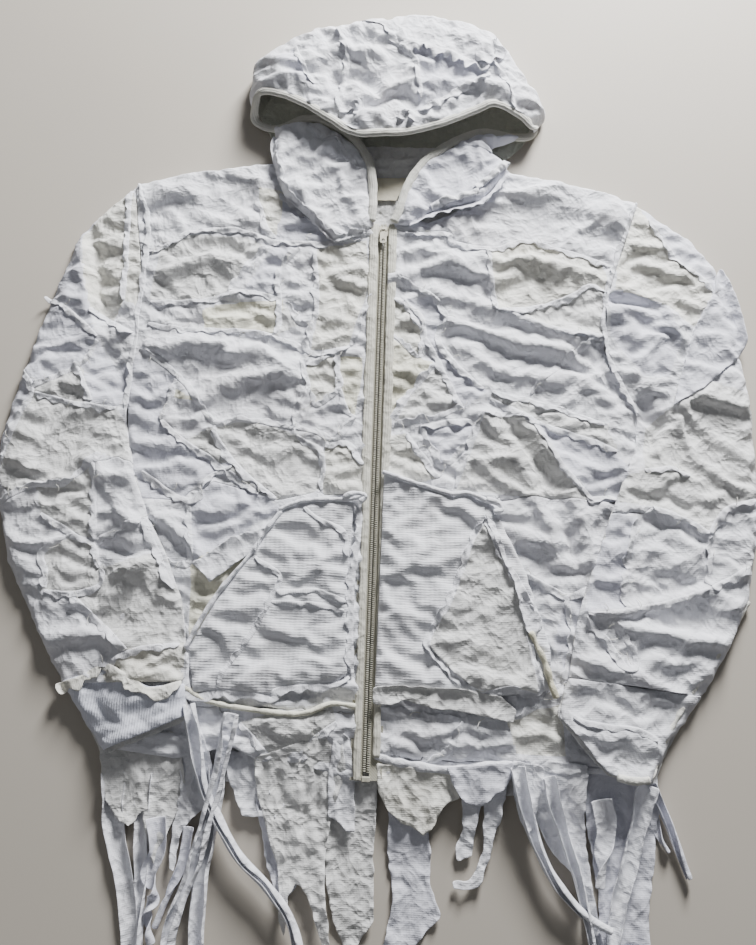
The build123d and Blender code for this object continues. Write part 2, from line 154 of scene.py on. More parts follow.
def cloth_material(name, colour, stain, knit, crease=0.0016, grain=(1.0, 1.0)):
    """Cotton cloth: a knit, crease marks in the pile darkened by painted shade, and uneven ageing.

    knit is (stripe spacing along X, stripe spacing along Y, depth), in millimetres. crease is how
    deep the creases look, in metres, and grain draws them out along one direction.
    """
    material, tree, shader = new_material(name)
    cut = add(tree, "UVMap", uv_map="cloth").outputs["UV"]
    place = add(tree, "TexCoord").outputs["Object"]
    along, across, depth = knit

    ageing = add(tree, "TexNoise", {"Vector": place},
                 {"Scale": 11.0, "Detail": 5.0, "Roughness": 0.6, "Distortion": 0.6})
    aged = add(tree, "MapRange", {"Value": ageing.outputs["Fac"]},
               {"From Min": 0.50, "From Max": 0.76})
    tone = add(tree, "Mix", {0: aged.outputs["Result"]}, {6: linear(colour), 7: linear(stain)},
               data_type="RGBA")
    drawn = add(tree, "Mapping", {"Vector": place}, {"Scale": (grain[0], grain[1], 1.0)})
    creases = add(tree, "TexNoise", {"Vector": drawn.outputs["Vector"]},
                  {"Scale": 48.0, "Detail": 8.0, "Roughness": 0.66, "Distortion": 0.25})
    bent = add(tree, "TexNoise", {"Vector": drawn.outputs["Vector"]}, {"Scale": 22.0})
    shift = add(tree, "VectorMath", {0: bent.outputs["Color"]}, {1: (0.03, 0.03, 0.03)},
                operation="MULTIPLY")
    moved = add(tree, "VectorMath", {0: drawn.outputs["Vector"], 1: shift.outputs[0]},
                operation="ADD")
    pinched = add(tree, "TexVoronoi", {"Vector": moved.outputs[0]},
                  {"Scale": 42.0, "Detail": 2.0, "Roughness": 0.55})
    # Painted shade: where the crease noise is low the colour is darkened, down to 0.88 of itself, as
    # shaded creases would look.
    crease_shade = add(tree, "MapRange", {"Value": creases.outputs["Fac"]},
               {"From Min": 0.30, "From Max": 0.62, "To Min": 0.88, "To Max": 1.0})
    # The painted crease shade is multiplied into the cloth's tone here.
    wear_and_crease_shade = add(tree, "Mix", {6: tone.outputs[2], 7: crease_shade.outputs["Result"]}, {0: 1.0},
               data_type="RGBA", blend_type="MULTIPLY")
    tree.links.new(wear_and_crease_shade.outputs[2], shader.inputs["Base Color"])

    loops = add(tree, "TexWave", {"Vector": cut},
                {"Scale": wave_scale(along), "Distortion": 1.2, "Detail": 1.0,
                 "Detail Scale": 2.0}, bands_direction="X")
    courses = add(tree, "TexWave", {"Vector": cut},
                  {"Scale": wave_scale(across), "Distortion": 1.6, "Detail": 1.0,
                   "Detail Scale": 2.0}, bands_direction="Y")
    stitches = add(tree, "Math", {0: loops.outputs["Fac"], 1: courses.outputs["Fac"]},
                   operation="ADD")
    fuzz = add(tree, "TexNoise", {"Vector": place}, {"Scale": 420.0, "Detail": 2.0})
    surface = add(tree, "Math", {0: stitches.outputs[0], 1: fuzz.outputs["Fac"]}, operation="ADD")
    wrinkled = add(tree, "Bump", {"Height": pinched.outputs["Distance"]},
                   {"Strength": 0.8, "Distance": crease * 2.4})
    crumpled = add(tree, "Bump", {"Height": creases.outputs["Fac"],
                                  "Normal": wrinkled.outputs["Normal"]},
                   {"Strength": 0.6, "Distance": crease * 1.3})
    fine = add(tree, "Bump", {"Height": surface.outputs[0], "Normal": crumpled.outputs["Normal"]},
               {"Strength": 0.5, "Distance": depth * MM})
    tree.links.new(fine.outputs["Normal"], shader.inputs["Normal"])
    shader.inputs["Roughness"].default_value = 0.92
    shader.inputs["Specular IOR Level"].default_value = 0.25
    shader.inputs["Sheen Weight"].default_value = 0.12
    shader.inputs["Sheen Roughness"].default_value = 0.5
    return material


# Knits: spacing along X and Y, and depth. All are drawn coarser than real so that they show.
JERSEY = (1.5, 1.9, 0.13)  # real loops are 0.6 mm apart
FLEECE = (5.0, 2.6, 0.30)
RIB = (2.8, 40.0, 0.55)
CLOTHS = {
    # Cotton T-shirt jersey, washed: cool white with a fine knit and crease marks.
    "white": cloth_material("cotton_jersey_white", "#E9EAF0", "#DDDCE0", JERSEY),
    # The same jersey washed with dark clothes, which tints it lavender.
    "lavender": cloth_material("cotton_jersey_lavender", "#DEDFE9", "#D4D5DF", JERSEY, 0.0012),
    # Old undershirt jersey, yellowed a little by age.
    "ivory": cloth_material("cotton_jersey_ivory", "#E8E7E0", "#DEDBCF", JERSEY, 0.0018),
    "cream": cloth_material("cotton_jersey_cream", "#E6E4D3", "#DAD6C2", JERSEY, 0.0016),
    # Grey jersey; as in every cloth, painted shade darkens it along its creases.
    "grey": cloth_material("cotton_jersey_grey", "#DFDFDE", "#D2D2CF", JERSEY, 0.0020),
    # Sweatshirt fleece: soft horizontal ribs in a matt pile.
    "fleece": cloth_material("sweatshirt_fleece_white", "#E6E7EC", "#DAD9DC", FLEECE, 0.0006,
                             (0.35, 1.6)),
    # Cuff and hem rib: close upright ribs.
    "rib": cloth_material("cotton_rib_grey", "#D3D2CA", "#C4C2B6", RIB, 0.0006),
    "cuff": cloth_material("cotton_rib_white", "#DFE2EE", "#D6D8E4", RIB, 0.0006),
    # The rib beside the zip, aged to ecru.
    "aged": cloth_material("cotton_rib_aged", "#CECCC0", "#B5B1A0", RIB, 0.0008),
    # Grey-green sweatshirt lining inside the hood.
    "lining": cloth_material("sweatshirt_lining_grey", "#B9BBAF", "#A5A79A", FLEECE, 0.0016),
    # Woven cotton label, cream and plain.
    "label": cloth_material("woven_cotton_label", "#E4DEC9", "#D8D0B8", (0.9, 0.9, 0.1), 0.0003),
    # Cream selvedge stiffened by glue and stitching.
    "stiff": cloth_material("stiff_cream_selvedge", "#D9D5BE", "#BFB99C", (1.4, 1.4, 0.3), 0.0016),
}


def hard_material(name, colour, wear_and_crease_shade, roughness):
    """Moulded plastic or coated metal with rubbed patches."""
    material, tree, shader = new_material(name)
    place = add(tree, "TexCoord").outputs["Object"]
    rubbed = add(tree, "TexNoise", {"Vector": place}, {"Scale": 260.0, "Detail": 4.0})
    share = add(tree, "MapRange", {"Value": rubbed.outputs["Fac"]},
                {"From Min": 0.5, "From Max": 0.7})
    tone = add(tree, "Mix", {0: share.outputs["Result"]}, {6: linear(colour), 7: linear(wear_and_crease_shade)},
               data_type="RGBA")
    tree.links.new(tone.outputs[2], shader.inputs["Base Color"])
    fine = add(tree, "Bump", {"Height": rubbed.outputs["Fac"]},
               {"Strength": 0.2, "Distance": 0.0001})
    tree.links.new(fine.outputs["Normal"], shader.inputs["Normal"])
    shader.inputs["Roughness"].default_value = roughness
    return material


def tape_material():
    """Woven polyester zip tape: a fine twill, greyed by wear. Its real ribs are 0.7 mm apart."""
    material, tree, shader = new_material("woven_polyester_tape_edge")
    place = add(tree, "TexCoord").outputs["Object"]
    weave = add(tree, "TexWave", {"Vector": place},
                {"Scale": wave_scale(1.4), "Distortion": 0.4}, bands_direction="DIAGONAL")
    tone = add(tree, "Mix", {0: weave.outputs["Fac"]}, {6: linear("#A8A595"), 7: linear("#B9B6A7")},
               data_type="RGBA")
    tree.links.new(tone.outputs[2], shader.inputs["Base Color"])
    fine = add(tree, "Bump", {"Height": weave.outputs["Fac"]}, {"Strength": 0.4,
                                                               "Distance": 0.0002})
    tree.links.new(fine.outputs["Normal"], shader.inputs["Normal"])
    shader.inputs["Roughness"].default_value = 0.85
    return material


# Zip teeth of moulded acetal, grey with dirt.
TEETH = hard_material("moulded_acetal_teeth", "#B4B1A2", "#8D8A7C", 0.5)
# Slider and pull of zinc die-casting under cream enamel, chipped to bare metal in places.
ENAMEL = hard_material("enamelled_zinc", "#D8D3C2", "#A9A595", 0.35)
TAPE = tape_material()

# ---------------------------------------------------------------- flat geometry


def inside(x, y, outline):
    """True where a point lies within a closed outline."""
    found = False
    for (ax, ay), (bx, by) in zip(outline, outline[1:] + outline[:1]):
        if (ay > y) != (by > y) and x < (bx - ax) * (y - ay) / (by - ay) + ax:
            found = not found
    return found


def nearest(x, y, line):
    """How far a point is from a line of points, and the nearest place on it."""
    best = (1e9, x, y)
    for (ax, ay), (bx, by) in zip(line, line[1:]):
        dx, dy = bx - ax, by - ay
        t = ((x - ax) * dx + (y - ay) * dy) / max(dx * dx + dy * dy, 1e-9)
        t = min(1.0, max(0.0, t))
        qx, qy = ax + t * dx, ay + t * dy
        away = hypot(x - qx, y - qy)
        if away < best[0]:
            best = (away, qx, qy)
    return best


def distance(x, y, lines):
    """How far a point is from the nearest of several lines."""
    return min(nearest(x, y, line)[0] for line in lines)


def dome(away, reach):
    """A quarter round from 0 at an edge to 1 at this reach from it."""
    share = min(1.0, away / reach)
    return sqrt(max(0.0, 1 - (1 - share) ** 2))


def ramp(value, low, high):
    """0 below low, 1 above high, and smooth between them."""
    share = min(1.0, max(0.0, (value - low) / (high - low)))
    return share * share * (3 - 2 * share)


def mix(a, b, share):
    """From a, at a share of 0, to b, at 1."""
    return a + (b - a) * share


def folds_at(x, y, folds):
    """The height that long soft folds add: each is (path, half width, height)."""
    return sum(tall * exp(-(nearest(x, y, path)[0] / wide) ** 2) for path, wide, tall in folds)


def ruffle(x, y, seed, size=9.0):
    """Smooth unevenness from -1 to 1 over a size in millimetres."""
    return noise.noise(Vector((x / size, y / size, seed * 7.31)))


def outline_size(outline):
    """The width and length of the box round an outline."""
    xs, ys = [p[0] for p in outline], [p[1] for p in outline]
    return max(xs) - min(xs), max(ys) - min(ys)


def smooth_path(points, step):
    """Evenly spaced places on a soft curve through a few points of any dimension."""
    points = [Vector(p) for p in points]
    ends = [2 * points[0] - points[1]] + points + [2 * points[-1] - points[-2]]
    fine = []
    for a, b, c, d in zip(ends, ends[1:], ends[2:], ends[3:]):
        for k in range(12):
            t = k / 12
            fine.append(0.5 * (2 * b + (c - a) * t + (2 * a - 5 * b + 4 * c - d) * t * t
                               + (3 * b - a - 3 * c + d) * t ** 3))
    fine.append(points[-1])
    lengths = [0.0]
    for p, q in zip(fine, fine[1:]):
        lengths.append(lengths[-1] + (q - p).length)
    count = max(2, round(lengths[-1] / step))
    places, at = [], 0
    for i in range(count + 1):
        goal = lengths[-1] * i / count
        while at < len(fine) - 2 and lengths[at + 1] < goal:
            at += 1
        share = (goal - lengths[at]) / max(lengths[at + 1] - lengths[at], 1e-9)
        places.append(fine[at].lerp(fine[at + 1], min(1.0, share)))
    return places, lengths[-1]


# ---------------------------------------------------------------- sheets of cloth


class Sheet:
    """A flat cut of cloth and the shape that it has taken.

    flat holds where each vertex lay when the cloth was cut, and now where it is.
    """

    def __init__(self, bm, flat, now):
        self.bm = bm
        self.flat = flat
        self.now = now
        self.faces = [[v.index for v in face.verts] for face in bm.faces]
        self.refresh()

    def refresh(self):
        """Makes height() follow the cloth after it has moved."""
        self.tree = BVHTree.FromPolygons(self.now, self.faces)

    def height(self, x, y):
        """The height of the cloth at a place, or None beside it."""
        hit = self.tree.ray_cast(Vector((x, y, 300)), Vector((0, 0, -1)))[0]
        return hit.z if hit else None

    def press(self, outline, ceiling):
        """Keeps the cloth under what lies on it."""
        for v, (x, y) in zip(self.now, self.flat):
            if v.z > ceiling - 1 and inside(x, y, outline):
                v.z = ceiling - 1 + min(1.0, (v.z - ceiling + 1) * 0.15)
        self.refresh()

    def cut(self, keep):
        """The faces of the sheet whose middle passes keep, as a mesh in millimetres."""
        bm = self.bm.copy()
        bm.verts.index_update()
        uv = bm.loops.layers.uv.new("cloth")
        for v in bm.verts:
            v.co = self.now[v.index]
        unwanted = []
        for face in bm.faces:
            corners = [self.flat[loop.vert.index] for loop in face.loops]
            for loop, (x, y) in zip(face.loops, corners):
                loop[uv].uv = (x * MM, y * MM)
            if not keep(sum(x for x, _ in corners) / len(corners),
                        sum(y for _, y in corners) / len(corners)):
                unwanted.append(face)
        bmesh.ops.delete(bm, geom=unwanted, context="FACES")
        stray = [edge for edge in bm.edges if not edge.link_faces]
        bmesh.ops.delete(bm, geom=stray, context="EDGES")
        return bm


def flat_cut(outline, seams, step):
    """A grid cut to an outline, with its seams along edges of the mesh, and the held vertices."""
    wide, long = outline_size(outline)
    x0, y0 = min(p[0] for p in outline), min(p[1] for p in outline)
    bm = bmesh.new()
    bmesh.ops.create_grid(bm, x_segments=max(3, round(wide / step)),
                          y_segments=max(3, round(long / step)), size=0.5)
    closed = outline + outline[:1]
    held, outside = [], []
    for v in bm.verts:
        x, y = x0 + (v.co.x + 0.5) * wide, y0 + (v.co.y + 0.5) * long
        away, qx, qy = nearest(x, y, closed)
        v.co = (x, y, 0)
        if away <= step * 0.55:
            v.co = (qx, qy, 0)
            held.append(v)
            continue
        if not inside(x, y, outline):
            outside.append(v)
            continue
        found = [nearest(x, y, seam) for seam in seams]
        away, qx, qy = min(found) if found else (1e9, x, y)
        if away <= step * 0.55:
            v.co = (qx, qy, 0)
            held.append(v)
    bmesh.ops.connect_verts(bm, verts=held)
    bmesh.ops.delete(bm, geom=outside, context="VERTS")
    bmesh.ops.remove_doubles(bm, verts=bm.verts, dist=step * 0.2)
    bmesh.ops.dissolve_degenerate(bm, dist=0.1, edges=bm.edges)
    loose = [v for v in bm.verts if not v.link_faces]
    bmesh.ops.delete(bm, geom=loose, context="VERTS")
    bm.verts.index_update()
    return bm, [v.index for v in held if v.is_valid]


def crumple(outline, seams, height, step=4.5, slack=SLACK, hold=0.008, bending=BENDING, seed=1,
            frames=28):
    """Sews a sheet that is cut too large along its outline and seams, and lets it wrinkle.

    height(x, y) is where the cloth would lie if it fitted. slack is how much longer the cloth is
    along X and along Y. hold is how strongly the padding of air and cloth under it keeps it there.
    """
    bm, held = flat_cut(outline, seams, step)
    flat = [(v.co.x, v.co.y) for v in bm.verts]
    middle = Vector((sum(x for x, _ in flat) / len(flat), sum(y for _, y in flat) / len(flat), 0))
    for v in bm.verts:
        v.co.z = height(v.co.x, v.co.y) + 1.6 * ruffle(v.co.x, v.co.y, seed, 13)
        v.co = (v.co - middle) * MM
    mesh = bpy.data.meshes.new("sewing")
    bm.to_mesh(mesh)
    piece = bpy.data.objects.new("sewing", mesh)
    bpy.context.scene.collection.objects.link(piece)
    grip = piece.vertex_groups.new(name="grip")
    grip.add(list(range(len(flat))), hold, "REPLACE")
    grip.add(held, 1.0, "REPLACE")
    loose = piece.vertex_groups.new(name="loose")
    for number, (x, y) in enumerate(flat):
        share = 0.5 + 1.3 * ruffle(x, y, seed + 17, 75)
        loose.add([number], min(1.0, max(0.0, share)), "REPLACE")
    modifier = piece.modifiers.new("cloth", "CLOTH")
    cloth = modifier.settings
    cloth.quality = 6
    cloth.mass = 0.25
    cloth.tension_stiffness = 8
    cloth.compression_stiffness = 8
    cloth.shear_stiffness = 4
    cloth.bending_stiffness = bending
    cloth.tension_damping = 3
    cloth.compression_damping = 3
    cloth.shear_damping = 3
    cloth.bending_damping = 0.5
    cloth.vertex_group_mass = "grip"
    cloth.vertex_group_shrink = "loose"
    cloth.shrink_min = 0
    cloth.shrink_max = -EXTRA if slack == SLACK else 0
    cloth.pin_stiffness = 1.0
    cloth.effector_weights.gravity = 0
    modifier.collision_settings.use_collision = False
    modifier.collision_settings.use_self_collision = False
    modifier.point_cache.frame_start = 1
    modifier.point_cache.frame_end = frames
    for number, wider in ((1, slack), (DRAWN_IN, (0.0, 0.0))):
        piece.scale = (1 + wider[0], 1 + wider[1], 1)
        piece.keyframe_insert("scale", frame=number)
    for number in range(1, frames + 1):
        bpy.context.scene.frame_set(number)
    bpy.context.view_layer.update()
    graph = bpy.context.evaluated_depsgraph_get()
    sewn = bpy.data.meshes.new_from_object(piece.evaluated_get(graph), depsgraph=graph)
    sheet = Sheet(bm, flat, [v.co / MM for v in sewn.vertices])
    bpy.data.actions.remove(piece.animation_data.action)
    bpy.data.objects.remove(piece)
    bpy.context.scene.frame_set(1)
    for v, (x, y) in zip(sheet.now, flat):
        v += middle
        under = height(x, y) - 3.5
        if v.z < under:
            v.z = under + (v.z - under) * 0.3
        v.z = max(v.z, GROUND)
    sheet.refresh()
    return sheet


def lay_sheet(outline, over, lift=1.5, step=4.0, edge=2.0, seed=1, seams=(), wave=0.8):
    """A loose piece of cloth laid on what is under it, with edges that lift and ruffle.

    over(x, y) gives the height under it. edge is how far its edges lift, and wave how uneven it is.
    """
    bm, _ = flat_cut(outline, list(seams), step)
    flat = [(v.co.x, v.co.y) for v in bm.verts]
    closed = outline + outline[:1]
    for v in bm.verts:
        x, y = v.co.x, v.co.y
        away = nearest(x, y, closed)[0]
        near = exp(-(away / 5.0) ** 2)
        v.co.z = over(x, y) + lift + wave * ruffle(x, y, seed, 14)
        v.co.z += near * edge * (0.5 + ruffle(x, y, seed + 3, 7))
        v.co.x += near * 1.6 * ruffle(x, y, seed + 5, 6)
        v.co.y += near * 1.6 * ruffle(x, y, seed + 9, 6)
        v.co.z = max(v.co.z, GROUND)
    return Sheet(bm, flat, [v.co.copy() for v in bm.verts])


def everything(x, y):
    """Keeps the whole of a sheet."""
    return True


def on_top(sheet, beside):
    """Finds the height of a sheet at a place, or what beside(x, y) gives where it has none."""
    def over(x, y):
        found = sheet.height(x, y)
        return found if found is not None else beside(x, y)
    return over


def make_piece(name, bm, tones, replaces=(), thick=CLOTH_THICK, smooth=1, tone_at=None,
               blend=False):
    """Turns a finished mesh into a named piece: a thickness, a soft surface and its materials.

    tones are cloths or materials, and tone_at(x, y) chooses one for each face. A blended piece
    crosses the neck seam; its placing is baked into its mesh instead of its being hung on the jacket.
    """
    if tone_at:
        for face in bm.faces:
            place = face.calc_center_median()
            face.material_index = tone_at(place.x, place.y)
    for v in bm.verts:
        v.co *= MM
    mesh = bpy.data.meshes.new(name)
    bm.to_mesh(mesh)
    bm.free()
    mesh.polygons.foreach_set("use_smooth", [True] * len(mesh.polygons))
    piece = bpy.data.objects.new(name, mesh)
    bpy.context.scene.collection.objects.link(piece)
    for tone in tones:
        mesh.materials.append(CLOTHS[tone] if isinstance(tone, str) else tone)
    if thick:
        wall = piece.modifiers.new("thickness", "SOLIDIFY")
        wall.thickness = thick * MM
        wall.offset = -1
    if smooth:
        soft = piece.modifiers.new("soft", "SUBSURF")
        soft.levels = smooth
        soft.render_levels = smooth
    if blend:
        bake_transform(piece)
    else:
        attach(piece, "jacket")
    if replaces:
        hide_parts(*replaces)
    return piece


def flat_cut_of(piece):
    """The corners of a piece's faces as they lay when it was cut, and its area, in metres."""
    spots = [tuple(loop.uv) for loop in piece.data.uv_layers["cloth"].data]
    area = 0.0
    for polygon in piece.data.polygons:
        corners = [spots[i] for i in polygon.loop_indices]
        area += abs(sum(ax * by - bx * ay for (ax, ay), (bx, by)
                        in zip(corners, corners[1:] + corners[:1]))) / 2
    return spots, area


def declare(piece, slack=(0.0, 0.0)):
    """Works out the size that a piece's cloth was cut to, but records nothing: it returns the piece as
    it was.

    A piece that runs aslant fills little of the box round it, so the length worked out for it is cut
    down.
    """
    if slack == SLACK:
        slack = (slack[0] + EXTRA / 2, slack[1] + EXTRA / 2)
    spots, area = flat_cut_of(piece)
    wide = (max(u for u, v in spots) - min(u for u, v in spots)) * (1 + slack[0])
    long = (max(v for u, v in spots) - min(v for u, v in spots)) * (1 + slack[1])
    area = min(area * (1 + slack[0]) * (1 + slack[1]), wide * long)
    while area < LEAST_FILL * wide * long:
        long *= 0.9
    return piece


def laid_piece(name, outline, over, tone, held="laid", rests_on=(), replaces=(),
               thick=CLOTH_THICK, **lie):
    """A piece that is one loose sheet, laid as lay_sheet says. Returns the sheet."""
    sheet = lay_sheet(outline, over, **lie)
    piece = make_piece(name, sheet.cut(everything), [tone], replaces=replaces, thick=thick)
    declare(piece)
    return sheet


# ---------------------------------------------------------------- strips along a path


def sweep(bm, points, profile, step=3.0, over=None):
    """Adds a strip along a path: profile(share, along) gives its section as (across, up) pairs.

    Points are (x, y, z), or (x, y) with over(x, y) giving the height under each place.
    Returns the strip's length.
    """
    line, length = smooth_path(points, step)
    uv = bm.loops.layers.uv.get("cloth") or bm.loops.layers.uv.new("cloth")
    count, rows = len(line), len(profile(0.0, 0.0))
    made = bmesh.ops.create_grid(bm, x_segments=count - 1, y_segments=rows - 1, size=0.5)["verts"]
    sections = [profile(i / (count - 1), length * i / (count - 1)) for i in range(count)]
    spots = {}
    for v in made:
        i = round((v.co.x + 0.5) * (count - 1))
        j = round((v.co.y + 0.5) * (rows - 1))
        ahead = line[min(i + 1, count - 1)] - line[max(i - 1, 0)]
        turn = atan2(ahead.y, ahead.x)
        along = length * i / (count - 1)
        across, up = sections[i][j]
        x = line[i].x - sin(turn) * across
        y = line[i].y + cos(turn) * across
        ground = over(x, y) if over else line[i].z
        v.co = (x, y, ground + up)
        girth = sum(hypot(b[0] - a[0], b[1] - a[1])
                    for a, b in zip(sections[i][:j], sections[i][1:j + 1]))
        spots[v] = (girth * MM, along * MM)
    for face in {f for v in made for f in v.link_faces}:
        for loop in face.loops:
            loop[uv].uv = spots[loop.vert]
    return length


def raw_edge(width=6.0, seed=1, lift=2.4):
    """The section of a torn edge that laps over a seam: sewn on the left, free on the right."""
    def section(share, along):
        end = 0.25 + 0.75 * ramp(min(share, 1 - share), 0, 0.07)
        wide = width * end * (0.8 + 0.75 * ruffle(along, 0, seed, 9) + 0.4 * ruffle(along, 30, seed, 4))
        wide = max(1.4, wide)
        free = lift * max(0.05, 0.45 + 1.2 * ruffle(along, 100, seed, 7))
        wander = 1.6 * ruffle(along, 200, seed, 20)
        return [(wander - wide, 0.7 + free), (wander - wide * 0.66, 0.9 + 0.65 * free),
                (wander - wide * 0.3, 1.0 + 0.2 * free), (wander + 0.5, 0.95), (wander + 2.0, -0.5)]
    return section


def torn(width, tip=0.4, roll=0.3, seed=1, twist=0.0):
    """The section of a torn jersey strip, whose edges roll in as jersey does.

    tip is its width at the free end as a share of the whole, roll how far round it curls, and
    twist how many turns it makes.
    """
    def section(share, along):
        wide = width * mix(1.0, tip, share ** 1.3) * (1 + 0.14 * ruffle(along, 0, seed, 18))
        curl = min(0.93, max(0.04, roll + 0.22 * ruffle(along, 70, seed, 45)))
        turned = twist * ramp(share, 0.45, 1.0) * 2 * pi + 0.5 * ruffle(along, 90, seed, 30)
        half = pi * curl
        radius = wide / (2 * half)
        spots = []
        for k in range(9):
            angle = half * (k / 4 - 1)
            spots.append((radius * sin(angle), radius * (1 - cos(angle))))
        middle = sum(up for _, up in spots) / 9
        turned_spots = [(a * cos(turned) - (up - middle) * sin(turned),
                         a * sin(turned) + (up - middle) * cos(turned)) for a, up in spots]
        lowest = min(up for _, up in turned_spots)
        return [(a, up - lowest + CLOTH_THICK) for a, up in turned_spots]
    return section


def tube(radius, seed=1, uneven=0.0, sides=10, flatten=1.0):
    """A closed round section that rests on what is under it."""
    def section(share, along):
        r = radius * (1 + uneven * ruffle(along, 0, seed, 11))
        return [(-r * sin(2 * pi * k / sides), r * flatten * (1 - cos(2 * pi * k / sides)))
                for k in range(sides + 1)]
    return section


def close_tubes(bm):
    """Joins the seam of each tube and closes its ends."""
    bmesh.ops.remove_doubles(bm, verts=bm.verts, dist=0.02)
    bmesh.ops.holes_fill(bm, edges=[e for e in bm.edges if e.is_boundary], sides=40)
    bmesh.ops.recalc_face_normals(bm, faces=bm.faces)


def declare_strips(piece):
    """Returns a piece of one or more strips as it was; nothing about it is recorded.

    A rolled strip is drawn as a closed tube, so that its outside shows half of its cloth.
    """
    return piece


def rolled_piece(name, rolls, tone, replaces=()):
    """Rolled edges, as one piece: each is (path, section, step, height of what is under it)."""
    bm = bmesh.new()
    length = 0.0
    for path, section, step, high in rolls:
        over = None if high is None else (lambda x, y: high)
        length += sweep(bm, path, section, step, over)
    close_tubes(bm)
    piece = make_piece(name, bm, [tone], replaces=replaces, thick=0)
    declare_strips(piece)


# ---------------------------------------------------------------- the body

LEFT_OUTLINE = [
    (-137, 379), (-308, 342), (-283, 200), (-282, 30), (-272, -150), (-264, -276), (-263, -318),
    (-190, -326), (-137, -312), (-106, -326), (-67, -326), (-18, -342), (-6.5, -342), (-6.5, 290),
    (-60, 292), (-105, 318),
]
RIGHT_OUTLINE = [
    (150, 376), (110, 325), (53, 298), (6.5, 290), (6.5, -338), (38, -332), (85, -333),
    (147, -326), (236, -328), (293, -338), (295, 50), (262, 130), (262, 190), (311, 333),
]
# Where the fronts come down to the back: side seams, shoulders and neck.
SIDE_EDGES = [
    [(-264, -345), (-272, -150), (-283, 25)],
    [(-308, 342), (-137, 379), (-105, 318), (-60, 292)],
    [(294, -345), (295, 45)],
    [(311, 333), (150, 376), (110, 325), (53, 298)],
]
LEFT_POCKET = [
    (-101, -69), (-81, -59), (-30, -56), (-22, -58), (-25, -135), (-22, -238), (-33, -247),
    (-93, -254), (-98, -263), (-154, -258), (-178, -262), (-188, -218), (-157, -155),
    (-129, -117), (-114, -91),
]
RIGHT_POCKET = [
    (9, -23), (42, -35), (82, -47), (101, -45), (129, -57), (162, -128), (186, -205), (187, -249),
    (132, -256), (101, -252), (35, -250), (6, -253),
]
# Pieces sewn into the left front, each with its cloth.
LEFT_PIECES = [
    ("ivory", [(-153, 316), (-141, 283), (-129, 266), (-124, 300), (-126, 332), (-154, 336)]),
    ("lavender", [(-128, 329), (-102, 322), (-56, 265), (-82, 261), (-129, 263)]),
    ("grey", [(-266, 249), (-229, 268), (-162, 264), (-139, 253), (-181, 192), (-205, 182),
              (-273, 178)]),
    ("lavender", [(-133, 253), (-99, 254), (-121, 219), (-118, 187), (-162, 195)]),
    ("white", [(-271, 177), (-205, 181), (-209, 168), (-204, 143), (-271, 149)]),
    ("cream", [(-209, 168), (-190, 176), (-115, 184), (-117, 149), (-125, 138), (-186, 144),
               (-204, 143)]),
    ("white", [(-99, 254), (-81, 250), (-76, 186), (-78, 159), (-96, 152), (-111, 182),
               (-118, 215)]),
    ("grey", [(-111, 182), (-96, 152), (-122, 137), (-117, 161)]),
    ("ivory", [(-80, 252), (-20, 266), (-14, 200), (-36, 127), (-79, 120), (-75, 159)]),
    ("white", [(-268, 146), (-123, 138), (-85, 122), (-86, 101), (-79, 72), (-94, 24), (-153, 33),
               (-182, 26), (-206, 54), (-231, 83), (-277, 116)]),
    ("lavender", [(-284, 112), (-248, 93), (-229, 80), (-234, 53), (-247, 28), (-284, 45)]),
    ("cream", [(-230, 69), (-206, 54), (-235, 58)]),
    ("ivory", [(-84, 103), (-51, 120), (-46, 99), (-42, 75), (-69, 51), (-79, 72)]),
    ("cream", [(-48, 115), (-20, 115), (-18, 99), (-26, 40), (-33, 46), (-46, 88)]),
    ("white", [(-42, 75), (-33, 46), (-46, 11), (-73, 22), (-97, 27), (-75, 52)]),
    ("grey", [(-182, 26), (-153, 33), (-108, 25), (-90, 17), (-63, 3), (-57, -15), (-58, -45),
              (-108, -58), (-153, -18), (-175, 9)]),
    ("ivory", [(-58, 6), (-32, 11), (-12, -14), (-12, -48), (-58, -50)]),
    ("lavender", [(-283, 47), (-243, 31), (-214, 8), (-178, -15), (-158, -18), (-189, -34),
                  (-210, -60), (-268, -60), (-274, -30)]),
    ("grey", [(-214, 8), (-182, 26), (-175, 9), (-153, -18), (-127, -51), (-178, -15)]),
    ("white", [(-272, -62), (-202, -60), (-194, -130), (-229, -127), (-272, -110)]),
    ("lavender", [(-202, -60), (-178, -38), (-127, -51), (-101, -66), (-149, -99), (-194, -130)]),
    ("cream", [(-194, -130), (-149, -99), (-129, -117), (-157, -155), (-188, -215)]),
    ("grey", [(-129, -289), (-88, -326), (-57, -304), (-31, -286), (-38, -267), (-97, -279)]),
]
